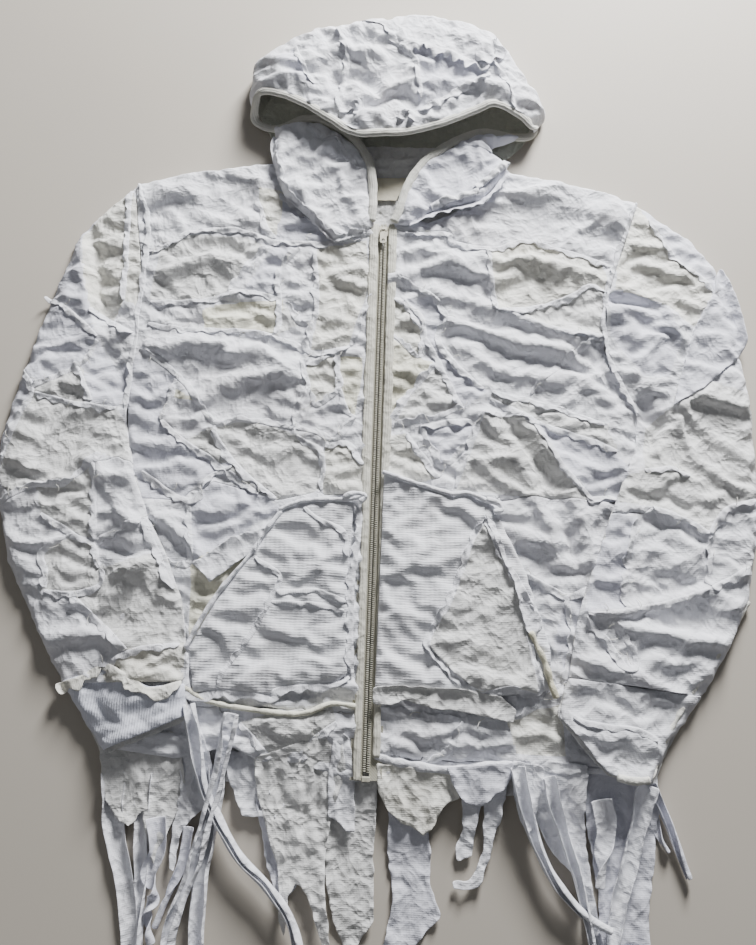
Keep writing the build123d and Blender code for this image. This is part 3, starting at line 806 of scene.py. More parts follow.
# And into the right front.
RIGHT_PIECES = [
    ("white", [(19, 274), (80, 276), (85, 268), (128, 261), (131, 217), (136, 177), (96, 186),
               (56, 196), (23, 216)]),
    ("ivory", [(128, 261), (175, 273), (212, 260), (262, 244), (270, 203), (246, 213),
               (215, 196), (173, 183), (136, 177)]),
    ("grey", [(150, 175), (173, 183), (215, 196), (246, 213), (262, 206), (262, 150), (213, 154)]),
    ("lavender", [(28, 190), (68, 113), (97, 54), (124, 78), (81, 118), (70, 144), (76, 162),
                  (58, 192)]),
    ("ivory", [(10, 195), (45, 174), (52, 144), (45, 115), (11, 145)]),
    ("cream", [(9, 143), (45, 115), (66, 108), (35, 68), (14, 32), (10, 60)]),
    ("grey", [(37, 70), (68, 108), (97, 54), (58, 39), (19, 33)]),
    ("white", [(136, 175), (150, 175), (213, 154), (260, 148), (262, 130), (282, 84), (255, 41),
               (190, 63), (129, 77), (81, 118), (70, 144), (78, 170)]),
    ("grey", [(129, 75), (190, 61), (255, 39), (268, 8), (240, 22), (186, 40), (127, 68)]),
    ("lavender", [(47, 33), (99, 42), (113, 28), (80, -13), (65, -9)]),
    ("ivory", [(10, 18), (34, 24), (70, -27), (48, -33), (10, -20)]),
    ("grey", [(120, 50), (172, 47), (210, -14), (239, -47), (166, -46), (88, -40)]),
    ("lavender", [(175, 45), (262, 8), (288, -18), (290, -52), (239, -47), (210, -14)]),
    ("white", [(118, -55), (166, -46), (239, -47), (228, -144), (207, -150), (151, -122)]),
    ("lavender", [(207, -150), (232, -141), (290, -150), (290, -235), (205, -235), (190, -200)]),
    ("ivory", [(140, -276), (195, -262), (200, -312), (150, -310)]),
]
# Further lines that the fronts are sewn along. The first of each is the lower edge of the yoke.
LEFT_SEAMS = [
    [(-284, 244), (-266, 249), (-237, 270), (-179, 276), (-129, 263), (-82, 261), (-20, 269)],
    [(-190, -255), (-159, -271), (-97, -279), (-64, -279), (-8, -276)],
    [(-129, -289), (-88, -326)],
    [(-88, -326), (-65, -322), (-57, -304), (-31, -286)],
    [(-263, -306), (-190, -312), (-150, -304)],
]
RIGHT_SEAMS = [
    [(19, 280), (80, 279), (85, 268), (128, 261), (175, 273), (212, 260), (280, 236)],
    [(203, -235), (150, -276), (60, -280), (8, -272)],
    [(8, -318), (85, -312), (147, -306), (236, -310), (293, -318)],
    [(97, -280), (84, -312), (60, -322)],
]
# Torn seams whose raw edges stand up.
LEFT_TORN = [
    [(-282, 244), (-266, 249), (-237, 270), (-179, 276), (-129, 263), (-82, 261), (-26, 268)],
    [(-271, 177), (-205, 182), (-181, 192), (-162, 195), (-118, 187)],
    [(-271, 149), (-242, 145), (-186, 144), (-146, 143), (-125, 138)],
    [(-139, 253), (-181, 192)],
    [(-99, 254), (-121, 219), (-118, 187), (-117, 149), (-125, 138)],
    [(-81, 250), (-74, 186), (-77, 159), (-96, 152), (-111, 182)],
    [(-77, 159), (-80, 120), (-34, 127)],
    [(-34, 127), (-15, 200)],
    [(-125, 138), (-85, 122), (-86, 101), (-79, 72), (-94, 24)],
    [(-84, 103), (-51, 120), (-46, 99), (-42, 75), (-69, 51), (-79, 72)],
    [(-48, 88), (-33, 46), (-26, 40), (-44, 11), (-69, 20), (-91, 25)],
    [(-94, 24), (-153, 33), (-182, 26), (-206, 54), (-231, 83), (-277, 116)],
    [(-231, 80), (-233, 56), (-243, 31)],
    [(-243, 31), (-214, 8), (-178, -15), (-127, -51)],
    [(-182, 26), (-175, 9), (-153, -18), (-108, -56)],
    [(-90, 17), (-63, 3), (-57, -15), (-58, -45)],
    [(-58, 6), (-32, 11), (-12, -14)],
    [(-257, -30), (-202, -60), (-185, -34), (-158, -18)],
    [(-202, -60), (-194, -130), (-227, -127)],
    [(-153, 316), (-141, 283), (-129, 266)],
    [(-128, 329), (-56, 265)],
    [(-129, -289), (-88, -326), (-65, -322), (-57, -304), (-31, -286)],
]
RIGHT_TORN = [
    [(26, 278), (80, 279), (85, 268), (128, 261), (175, 273), (212, 260), (277, 240)],
    [(128, 261), (131, 217), (136, 177)],
    [(136, 177), (173, 183), (215, 196), (246, 213), (266, 205)],
    [(150, 175), (213, 154), (258, 149)],
    [(23, 216), (56, 196), (78, 170), (76, 160), (70, 144), (81, 118), (120, 80)],
    [(28, 190), (68, 113), (97, 54)],
    [(10, 195), (45, 174), (52, 144), (45, 115), (11, 145)],
    [(66, 108), (35, 68), (14, 32)],
    [(97, 54), (58, 39), (19, 33)],
    [(129, 77), (190, 63), (255, 41)],
    [(127, 68), (186, 40), (240, 22), (266, 8)],
    [(47, 33), (99, 42), (113, 28), (80, -13), (65, -9), (47, 33)],
    [(34, 24), (70, -27)],
    [(247, 142), (191, 94), (173, 74)],
    [(120, 50), (88, -38)],
    [(120, 50), (172, 47), (210, -14), (239, -47)],
    [(231, -45), (255, -42), (278, -50)],
    [(151, -122), (188, -142), (207, -150), (232, -141)],
    [(207, -150), (211, -197), (195, -255)],
    [(203, -240), (150, -276), (60, -280), (10, -272)],
    [(97, -280), (84, -312), (60, -322)],
]
# Long soft folds: (path, half width, height). A negative height is a hollow.
BODY_FOLDS = [
    ([(9, 216), (78, 234), (136, 215)], 9, 5),
    ([(58, 197), (139, 177), (202, 153), (260, 147)], 8, 5),
    ([(83, 160), (154, 137), (212, 126)], 9, 6),
    ([(44, 255), (104, 240), (164, 242), (235, 227)], 10, 4),
    ([(88, 132), (138, 100), (206, 86)], 8, 5),
    ([(100, 146), (160, 118), (230, 104)], 7, -4),
    ([(120, 50), (170, -27), (200, -114)], 10, 7),
    ([(160, 43), (214, -25), (232, -113)], 10, 7),
    ([(145, 46), (190, -27), (214, -110)], 9, -4),
    ([(-257, 212), (-217, 230), (-170, 232)], 9, 4),
    ([(-254, 122), (-184, 118), (-126, 113)], 12, 4),
    ([(-213, 61), (-158, 81), (-102, 93)], 12, 4),
    ([(-244, -73), (-197, -104), (-167, -146)], 9, 5),
    ([(-223, 294), (-186, 282), (-156, 287)], 10, 4),
    ([(-270, 322), (-210, 318), (-160, 345)], 12, 4),
    ([(180, 330), (240, 312), (280, 300)], 13, 4),
    ([(270, 155), (253, 118), (273, 70)], 13, -7),
    ([(274, 70), (262, 20), (270, -20)], 9, 4),
    ([(-150, -300), (-120, -318)], 9, 4),
]


def body_height(x, y):
    """Where the fronts would lie if they were smooth."""
    rise = dome(distance(x, y, SIDE_EDGES), 26)
    flat = mix(15.5, 11.5, ramp(-y, 285, 335))
    return 4 + (flat - 4) * rise + rise * folds_at(x, y, BODY_FOLDS)


def seams_of(pieces, more):
    """Every line that a front is sewn along."""
    return [outline + outline[:1] for _, outline in pieces] + more


# The body's side edges, which the sleeves cross.
LEFT_SIDE = [(-290, 60), (-285, -30), (-276, -150), (-266, -345)]
RIGHT_SIDE = [(300, 60), (298, -30), (296, -345)]


def over_body(x, y, side):
    """0 on the ground beside the body and 1 well over its edge."""
    away, qx, _ = nearest(x, y, side)
    inward = away if (x > qx) == (side is LEFT_SIDE) else -away
    return ramp(inward, -14, 30) * ramp(-y, -70, 0)


# ---------------------------------------------------------------- sleeves

SLEEVE_LEFT = [
    (-308, 342), (-345, 302), (-371, 269), (-394, 179), (-414, 84), (-426, 10), (-424, -41),
    (-396, -133), (-319, -257), (-188, -251), (-186, -235), (-191, -205), (-198, -170),
    (-218, -126), (-240, -86), (-262, -41), (-283, 28), (-283.5, 110), (-283.5, 200),
]
SLEEVE_RIGHT = [
    (311, 333), (262.5, 190), (262.5, 130), (293, 52), (290, 20), (256, -61), (238, -110),
    (217, -167), (203, -235), (345, -250), (358, -233), (403, -150), (425, -61), (427, 20),
    (427, 84), (421, 134), (402, 247), (372, 285),
]
# Edges of the sleeves that aren't sewn to the body, where the cloth comes down.
LEFT_FREE = [
    [(-308, 342), (-345, 302), (-371, 269), (-394, 179), (-414, 84), (-426, 10), (-424, -41),
     (-396, -133), (-319, -257), (-267, -321)],
    [(-183, -284), (-188, -251), (-198, -170), (-240, -86), (-262, -41), (-283, 28)],
]
RIGHT_FREE = [
    [(311, 333), (372, 285), (402, 247), (421, 134), (427, 84), (427, 20), (425, -61),
     (403, -150), (358, -233), (345, -250), (307, -297), (285, -333)],
    [(293, 52), (290, 20), (256, -61), (238, -110), (217, -167), (203, -235), (192, -272)],
]
LEFT_SLEEVE_FOLDS = [
    ([(-352, 262), (-340, 215), (-319, 160)], 13, -9),
    ([(-362, 262), (-356, 210), (-343, 159), (-328, 128)], 7, 5),
    ([(-338, 43), (-365, 15), (-392, -18)], 7, 5),
    ([(-328, 41), (-352, 3), (-372, -30)], 7, 5),
    ([(-296, 34), (-309, 10), (-322, -18)], 8, 5),
    ([(-320, 40), (-332, 8), (-348, -26)], 6, -4),
    ([(-345, 95), (-323, 50)], 7, 4),
    ([(-310, -23), (-287, -58), (-258, -90)], 9, 6),
    ([(-237, -127), (-262, -144), (-280, -176)], 9, 6),
    ([(-225, -120), (-250, -160), (-262, -190)], 7, -4),
    ([(-290, -113), (-262, -118), (-240, -122)], 8, -6),
    ([(-312, 110), (-300, 92), (-290, 70)], 10, -6),
    ([(-345, -215), (-300, -205), (-260, -212)], 9, 4),
]
RIGHT_SLEEVE_FOLDS = [
    ([(275, 208), (322, 194)], 7, 5),
    ([(275, 196), (325, 184)], 7, -6),
    ([(269, 180), (333, 182), (349, 147)], 8, 6),
    ([(268, 171), (291, 168), (300, 126), (290, 101)], 8, 6),
    ([(303, 66), (314, 40), (300, 14)], 11, -12),
    ([(340, 66), (382, 26), (420, 4)], 7, 5),
    ([(335, 48), (358, 2), (399, -31)], 7, 5),
    ([(364, 79), (425, 62)], 8, 4),
    ([(352, 84), (330, 30), (310, -30)], 10, 5),
    ([(301, -53), (332, -63), (361, -80)], 8, 4),
    ([(257, -179), (311, -189), (364, -196)], 8, 5),
    ([(225, -217), (275, -235), (319, -253)], 9, 5),
    ([(220, -169), (257, -167), (305, -156), (355, -140)], 7, 6),
    ([(262, -175), (310, -172), (350, -165)], 8, -4),
]
LEFT_SLEEVE_PIECES = [
    ("lavender", [(-308, 342), (-345, 302), (-371, 269), (-398, 183), (-367, 166), (-326, 125),
                  (-339, 159), (-355, 210), (-369, 262), (-340, 300)]),
    ("ivory", [(-312, 330), (-306, 254), (-302, 178), (-315, 150), (-340, 167), (-355, 215),
               (-364, 262), (-340, 300)]),
    ("ivory", [(-312, 330), (-306, 254), (-302, 178), (-283, 170), (-284, 278)]),
    ("lavender", [(-398, 183), (-367, 166), (-326, 129), (-340, 95), (-394, 64), (-412, 90)]),
    ("white", [(-340, 167), (-310, 150), (-284, 136), (-284, 107), (-300, 90), (-326, 125)]),
    ("lavender", [(-412, 90), (-394, 64), (-400, 36), (-424, -20), (-425, 20)]),
    ("grey", [(-340, 95), (-323, 50), (-338, 48), (-389, 60), (-394, 64)]),
    ("lavender", [(-323, 50), (-295, 44), (-283, 60), (-284, 107), (-300, 90), (-326, 125),
                  (-340, 95)]),
    ("grey", [(-389, 60), (-338, 48), (-295, 44), (-284, 28), (-270, -20), (-308, -9),
              (-314, -23), (-340, -47), (-371, -50), (-398, -62), (-420, -40), (-400, 36)]),
    ("white", [(-310, -23), (-299, -107), (-275, -94), (-247, -83), (-262, -41), (-275, -8)]),
    ("grey", [(-314, -23), (-340, -47), (-371, -50), (-362, -80), (-323, -101), (-299, -107)]),
    ("white", [(-371, -50), (-398, -62), (-415, -73), (-380, -150), (-346, -160), (-353, -123),
               (-323, -101), (-362, -80)]),
    ("grey", [(-323, -101), (-353, -123), (-346, -163), (-319, -164), (-290, -156), (-291, -137),
              (-300, -113)]),
    ("white", [(-300, -113), (-275, -94), (-247, -83), (-228, -119), (-262, -130),
               (-291, -137)]),
    ("grey", [(-319, -164), (-302, -178), (-274, -200), (-248, -221), (-190, -212), (-198, -170),
              (-228, -119), (-262, -130), (-291, -137), (-290, -156)]),
    ("white", [(-346, -163), (-319, -164), (-302, -178), (-274, -200), (-248, -221), (-278, -238),
               (-319, -257), (-385, -150)]),
    ("ivory", [(-248, -221), (-219, -216), (-190, -212), (-188, -251), (-270, -253),
               (-278, -238)]),
]
RIGHT_SLEEVE_PIECES = [
    ("lavender", [(311, 333), (372, 285), (402, 247), (392, 211), (380, 229), (356, 247),
                  (335, 280), (320, 306)]),
    ("ivory", [(311, 333), (320, 306), (335, 280), (356, 247), (380, 229), (392, 211), (365, 163),
               (333, 190), (275, 208), (283, 268)]),
    ("lavender", [(265, 200), (275, 208), (333, 190), (349, 147), (331, 100), (300, 100),
                  (268, 150)]),
    ("white", [(346, 109), (331, 64), (300, 60), (290, 80), (300, 100), (331, 100)]),
    ("grey", [(346, 109), (331, 64), (303, 40), (295, -12), (328, -8), (347, -15), (361, -80),
              (383, -51), (425, -40), (427, 20), (427, 84), (400, 90)]),
    ("grey", [(295, -12), (328, -8), (347, -15), (361, -80), (332, -63), (301, -53), (262, -50),
              (272, -20)]),
    ("white", [(301, -53), (332, -63), (361, -80), (358, -139), (305, -156), (262, -164),
               (283, -67)]),
    ("lavender", [(283, -67), (262, -164), (222, -168), (238, -110), (256, -61)]),
    ("white", [(361, -80), (383, -51), (424, -42), (425, -61), (408, -112), (358, -139)]),
    ("white", [(358, -139), (408, -112), (403, -150), (358, -233), (345, -250), (203, -235),
               (217, -168), (262, -164), (305, -156)]),
    ("grey", [(224, -172), (245, -199), (263, -224), (268, -213), (248, -177)]),
]
LEFT_SLEEVE_TORN = [
    [(-312, 330), (-306, 254), (-302, 178)],
    [(-398, 183), (-367, 166), (-326, 129)],
    [(-340, 167), (-310, 150), (-286, 136)],
    [(-326, 125), (-340, 95), (-394, 64)],
    [(-411, 90), (-392, 64), (-400, 36), (-418, -15)],
    [(-389, 60), (-338, 48), (-295, 44)],
    [(-345, 95), (-323, 50)],
    [(-308, -9), (-314, -23), (-340, -47), (-371, -50), (-398, -62), (-414, -75)],
    [(-299, -107), (-275, -94), (-247, -83)],
    [(-310, -23), (-299, -107)],
    [(-362, -80), (-323, -101), (-300, -113), (-291, -137)],
    [(-323, -101), (-353, -123), (-345, -143), (-346, -160)],
    [(-346, -163), (-319, -164), (-290, -156), (-291, -137)],
    [(-319, -164), (-302, -178), (-274, -200), (-248, -221)],
    [(-278, -238), (-248, -223), (-219, -216), (-195, -214)],
    [(-247, -83), (-228, -119), (-208, -158)],
]
RIGHT_SLEEVE_TORN = [
    [(322, 305), (335, 280), (356, 247), (380, 229), (392, 211)],
    [(295, -12), (328, -8), (347, -15)],
    [(301, -53), (332, -63), (361, -80)],
    [(361, -80), (383, -51), (418, -40)],
    [(365, -84), (358, -137)],
    [(358, -139), (408, -112)],
    [(283, -67), (270, -118), (262, -162)],
    [(224, -170), (257, -167), (305, -156), (355, -140)],
    [(224, -172), (245, -199), (263, -224), (268, -213), (248, -177)],
]


def sleeve_height(side, free, folds):
    """A flattened sleeve that lies on the ground and steps up over the body's edge."""
    def height(x, y):
        over = over_body(x, y, side)
        rise = dome(distance(x, y, free), 26)
        low, high = mix(1.5, 18.5, over), mix(15.5, 26.5, over)
        return low + (high - low) * rise + rise * folds_at(x, y, folds)
    return height


left_sleeve_height = sleeve_height(LEFT_SIDE, LEFT_FREE, LEFT_SLEEVE_FOLDS)
right_sleeve_height = sleeve_height(RIGHT_SIDE, RIGHT_FREE, RIGHT_SLEEVE_FOLDS)

# ---------------------------------------------------------------- sewing it all

set_stage()

front_left = crumple(LEFT_OUTLINE, seams_of(LEFT_PIECES, LEFT_SEAMS), body_height, seed=1)
front_right = crumple(RIGHT_OUTLINE, seams_of(RIGHT_PIECES, RIGHT_SEAMS), body_height, seed=2)
sleeve_left = crumple(SLEEVE_LEFT, seams_of(LEFT_SLEEVE_PIECES, []), left_sleeve_height, seed=3)
sleeve_right = crumple(SLEEVE_RIGHT, seams_of(RIGHT_SLEEVE_PIECES, []), right_sleeve_height,
                       seed=4)
for front in (front_left, front_right):
    for pocket in (LEFT_POCKET, RIGHT_POCKET):
        front.press(pocket, 18.5)
    for sleeve in (SLEEVE_LEFT, SLEEVE_RIGHT):
        front.press(sleeve, 17)


def on_fronts(x, y):
    """The height of the fronts, or of the ground beside them."""
    sheet = front_left if x < 0 else front_right
    found = sheet.height(x, y)
    return found if found is not None else (UNDER_ZIP if abs(x) < 8 and y < 292 else 3.0)


on_left_sleeve = on_top(sleeve_left, left_sleeve_height)
on_right_sleeve = on_top(sleeve_right, right_sleeve_height)
TONES = ["white", "lavender", "ivory", "cream", "grey"]


def tones_of(pieces):
    """Chooses each face's cloth, by its place in TONES: white but for the sewn pieces."""
    def choose(x, y):
        for tone, outline in pieces:
            if inside(x, y, outline):
                return TONES.index(tone)
        return 0
    return choose


def level_of(pieces):
    """The height up the garment of the middle of the sewn piece that a place is in."""
    def level(x, y):
        for _, outline in pieces:
            if inside(x, y, outline):
                return sum(p[1] for p in outline) / len(outline)
        return y
    return level


def seam_strips(name, paths, over, tone, seed, width=7.0, lift=2.2, blend=False):
    """The raw edges of many torn seams, as one piece."""
    bm = bmesh.new()
    total = 0.0
    for number, path in enumerate(paths):
        section = raw_edge(width, seed + number * 1.7, lift)
        total += sweep(bm, path, section, 3.0, over)
    piece = make_piece(name, bm, [tone], thick=EDGE_THICK, blend=blend)
    return declare_strips(piece)


def make_body():
    """Both fronts, each cut into yoke, chest patches, lower front and hem band."""
    def in_yoke(x, y):
        low = nearest(x, y, LEFT_SEAMS[0] if x < 0 else RIGHT_SEAMS[0])[2]
        return y > low and y > 200

    for side, sheet, pieces, hem in (
        ("left", front_left, LEFT_PIECES, -276), ("right", front_right, RIGHT_PIECES, -318),
    ):
        level = level_of(pieces)
        choose = tones_of(pieces)

        def in_chest(x, y):
            return level(x, y) > -48 and y > hem and not in_yoke(x, y)

        yoke = make_piece(f"yoke_{side}_cloth", sheet.cut(in_yoke), TONES,
                          replaces=[f"yoke_{side}"], tone_at=choose)
        patches = make_piece(f"chest_patches_{side}_cloth", sheet.cut(in_chest), TONES,
                             replaces=[f"chest_patches_{side}"], tone_at=choose)
        rest = sheet.cut(lambda x, y: y >= hem and not in_yoke(x, y) and not in_chest(x, y))
        front = make_piece(f"front_{side}_cloth", rest, TONES,
                           replaces=[f"front_{side}_panel"], tone_at=choose)
        band = make_piece(f"hem_band_{side}_cloth", sheet.cut(lambda x, y: y < hem), TONES,
                          replaces=[f"hem_band_{side}"], tone_at=choose)
        for piece in (yoke, patches, front, band):
            declare(piece, SLACK)
    seam_strips("torn_seams_left", LEFT_TORN, on_fronts, "white", 11)
    seam_strips("torn_seams_right", RIGHT_TORN, on_fronts, "white", 47)


def make_back():
    """The back lies on the ground and shows beside the neck and below the front hem."""
    outline = [
        (-137, 379), (-118, 398), (128, 398), (150, 376), (311, 333), (262, 190), (262, 130),
        (295, 50), (293, -335), (10, -332), (-262, -328), (-282, 30), (-283, 200), (-308, 342),
    ]
    laid_piece("back_cloth", outline, lambda x, y: 0.0, "grey", replaces=["back_panel"],
               lift=1.9, step=11, edge=0.4, seed=4, wave=0.4)
    band = [(-262, -326), (10, -330), (293, -333), (292, -352), (10, -350), (-262, -345)]
    laid_piece("hem_band_back_cloth", band, lambda x, y: 0.0, "grey", rests_on=["back_cloth"],
               replaces=["hem_band_back"], lift=3.2, step=5, edge=1.2, seed=5)


def make_sleeves():
    """Each sleeve above and below its elbow, its underside, its torn seams and its armhole."""
    for side, sheet, pieces, elbow in (
        ("left", sleeve_left, LEFT_SLEEVE_PIECES, -41),
        ("right", sleeve_right, RIGHT_SLEEVE_PIECES, -61),
    ):
        choose, level = tones_of(pieces), level_of(pieces)
        upper = make_piece(f"sleeve_{side}_upper_cloth",
                           sheet.cut(lambda x, y: level(x, y) > elbow), TONES,
                           replaces=[f"sleeve_{side}_upper"], tone_at=choose)
        lower = make_piece(f"sleeve_{side}_lower_cloth",
                           sheet.cut(lambda x, y: level(x, y) <= elbow), TONES,
                           replaces=[f"sleeve_{side}_lower"], tone_at=choose)
        for piece in (upper, lower):
            declare(piece, SLACK)
    for side, outline, body_edge in (
        ("left", SLEEVE_LEFT, LEFT_SIDE),
        ("right", SLEEVE_RIGHT, RIGHT_SIDE),
    ):
        laid_piece(f"sleeve_{side}_under", outline,
                   lambda x, y: mix(0.2, 17.5, over_body(x, y, body_edge)), "grey",
                   lift=1.2, step=10, edge=0.2, seed=6, wave=0.3)

    left_seams = seam_strips("torn_seams_sleeve_left", LEFT_SLEEVE_TORN, on_left_sleeve, "white",
                             90)
    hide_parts("sleeve_left_patches")
    seam_strips("torn_seams_sleeve_right", RIGHT_SLEEVE_TORN, on_right_sleeve, "white", 130)

    flap = [
        (404, 246), (392, 211), (365, 163), (346, 109), (331, 64), (368, 87), (419, 132),
        (427, 152), (420, 197), (412, 228),
    ]
    laid_piece("sleeve_right_folded_flap", flap, on_right_sleeve, "lavender",
               rests_on=["sleeve_right_upper_cloth"], replaces=["sleeve_right_patches"],
               lift=2.4, step=4.5, edge=1.5, seed=8, wave=1.2)

    armholes = [
        ([(-302, 337), (-283, 278), (-282, 200), (-283, 120), (-284, 40)], 5),
        ([(308, 328), (285, 262), (264, 190), (264, 135), (276, 95), (293, 55)], 6),
    ]
    bm = bmesh.new()
    total = 0.0
    for path, seed in armholes:
        total += sweep(bm, path, raw_edge(6.0, seed, 1.8), 3.0,
                       lambda x, y: max(on_fronts(x, y), 15.0))
    piece = make_piece("armhole_seams", bm, ["white"], thick=EDGE_THICK)
    declare_strips(piece)


# ---------------------------------------------------------------- cuffs


def cuff_height(side, free):
    """A cuff lies on the ground and steps up over the body's edge, as the sleeve does."""
    def height(x, y):
        over = over_body(x, y, side)
        rise = dome(distance(x, y, free), 16)
        return mix(mix(2.0, 19.0, over), mix(15.0, 27.0, over), rise)
    return height


def make_cuffs():
    """The ribbed left cuff with its frayed top, and the right one with its rolled edges."""
    left = [(-319, -255), (-293, -290), (-267, -321), (-225, -303), (-183, -284), (-186, -252),
            (-221, -257), (-238, -250), (-275, -240)]
    free = [[(-319, -257), (-267, -321)], [(-183, -284), (-187, -251)]]
    smooth = cuff_height(LEFT_SIDE, free)

    def left_cuff(x, y):
        hem = nearest(x, y, [(-267, -321), (-225, -303), (-183, -284)])[0]
        ridge, groove = exp(-((hem - 6) / 3.5) ** 2), exp(-((hem - 12) / 1.8) ** 2)
        return smooth(x, y) + 0.7 * ridge - 0.8 * groove

    sheet = crumple(left, [[(-272, -310), (-229, -293), (-186, -274)]], left_cuff, 4.0,
                    (0.03, 0.04), 0.04, 0.4, 31, 20)
    piece = make_piece("cuff_left_cloth", sheet.cut(everything), ["cuff"], replaces=["cuff_left"])
    declare(piece, (0.03, 0.04))
    under = [(-319, -252), (-292, -292), (-268, -326), (-225, -308), (-181, -288), (-186, -252)]
    laid_piece("cuff_left_under", under,
               lambda x, y: mix(0.4, 18.0, over_body(x, y, LEFT_SIDE)), "grey",
               lift=1.6, step=5, edge=0.2, seed=32, wave=0.2)

    right = [(345, -250), (325, -275), (307, -297), (285, -333), (238, -326), (215, -297),
             (192, -272), (198, -250), (203, -235)]
    free = [[(345, -250), (307, -297), (285, -333)], [(192, -272), (203, -235)]]
    height = cuff_height(RIGHT_SIDE, free)
    sheet = crumple(right, [[(205, -273), (243, -281), (270, -283), (298, -293)]], height, 4.5,
                    (0.05, 0.10), 0.015, 0.5, 33, 22)
    piece = make_piece("cuff_right_cloth", sheet.cut(everything), ["white"],
                       replaces=["cuff_right"])
    declare(piece, (0.05, 0.10))
    under = [(345, -246), (325, -277), (309, -299), (288, -336), (240, -329), (213, -300),
             (190, -272), (203, -235)]
    laid_piece("cuff_right_under", under,
               lambda x, y: mix(0.4, 18.0, over_body(x, y, RIGHT_SIDE)), "grey",
               lift=1.6, step=5, edge=0.2, seed=34, wave=0.2)

    def top_left(x, y):
        return left_cuff(x, y) + 0.6

    def top_right(x, y):
        return height(x, y) + 0.6

    fray = [[(-322, -259), (-302, -252), (-287, -244), (-275, -239)],
            [(-275, -239), (-263, -238), (-238, -250), (-221, -259), (-189, -252)]]
    seam_strips("cuff_left_frayed_edge", fray, top_left, "ivory", 61, 11.0, 3.6)
    seam_strips("cuff_right_seam", [[(205, -273), (243, -281), (270, -283), (291, -293)]],
                top_right, "white", 66, 5.0, 1.6)
    hem = [(246, -328, 22), (262, -331, 23), (279, -330, 20)]
    outer = [(402, -150, 2), (358, -214, 5), (332, -246, 6), (299, -296, 8), (282, -330, 14)]
    rolled_piece("cuff_right_rolled_edges", [
        (hem, tube(4.2, 3, 0.2), 2.0, None), (outer, tube(3.2, 9, 0.25), 4.0, None),
    ], "ivory")


# ---------------------------------------------------------------- pockets


def pocket_height(outline, low=19.5, high=23):
    """A pocket swells a little between its sewn edges."""
    closed = outline + outline[:1]

    def height(x, y):
        return low + (high - low) * dome(nearest(x, y, closed)[0], 22)
    return height


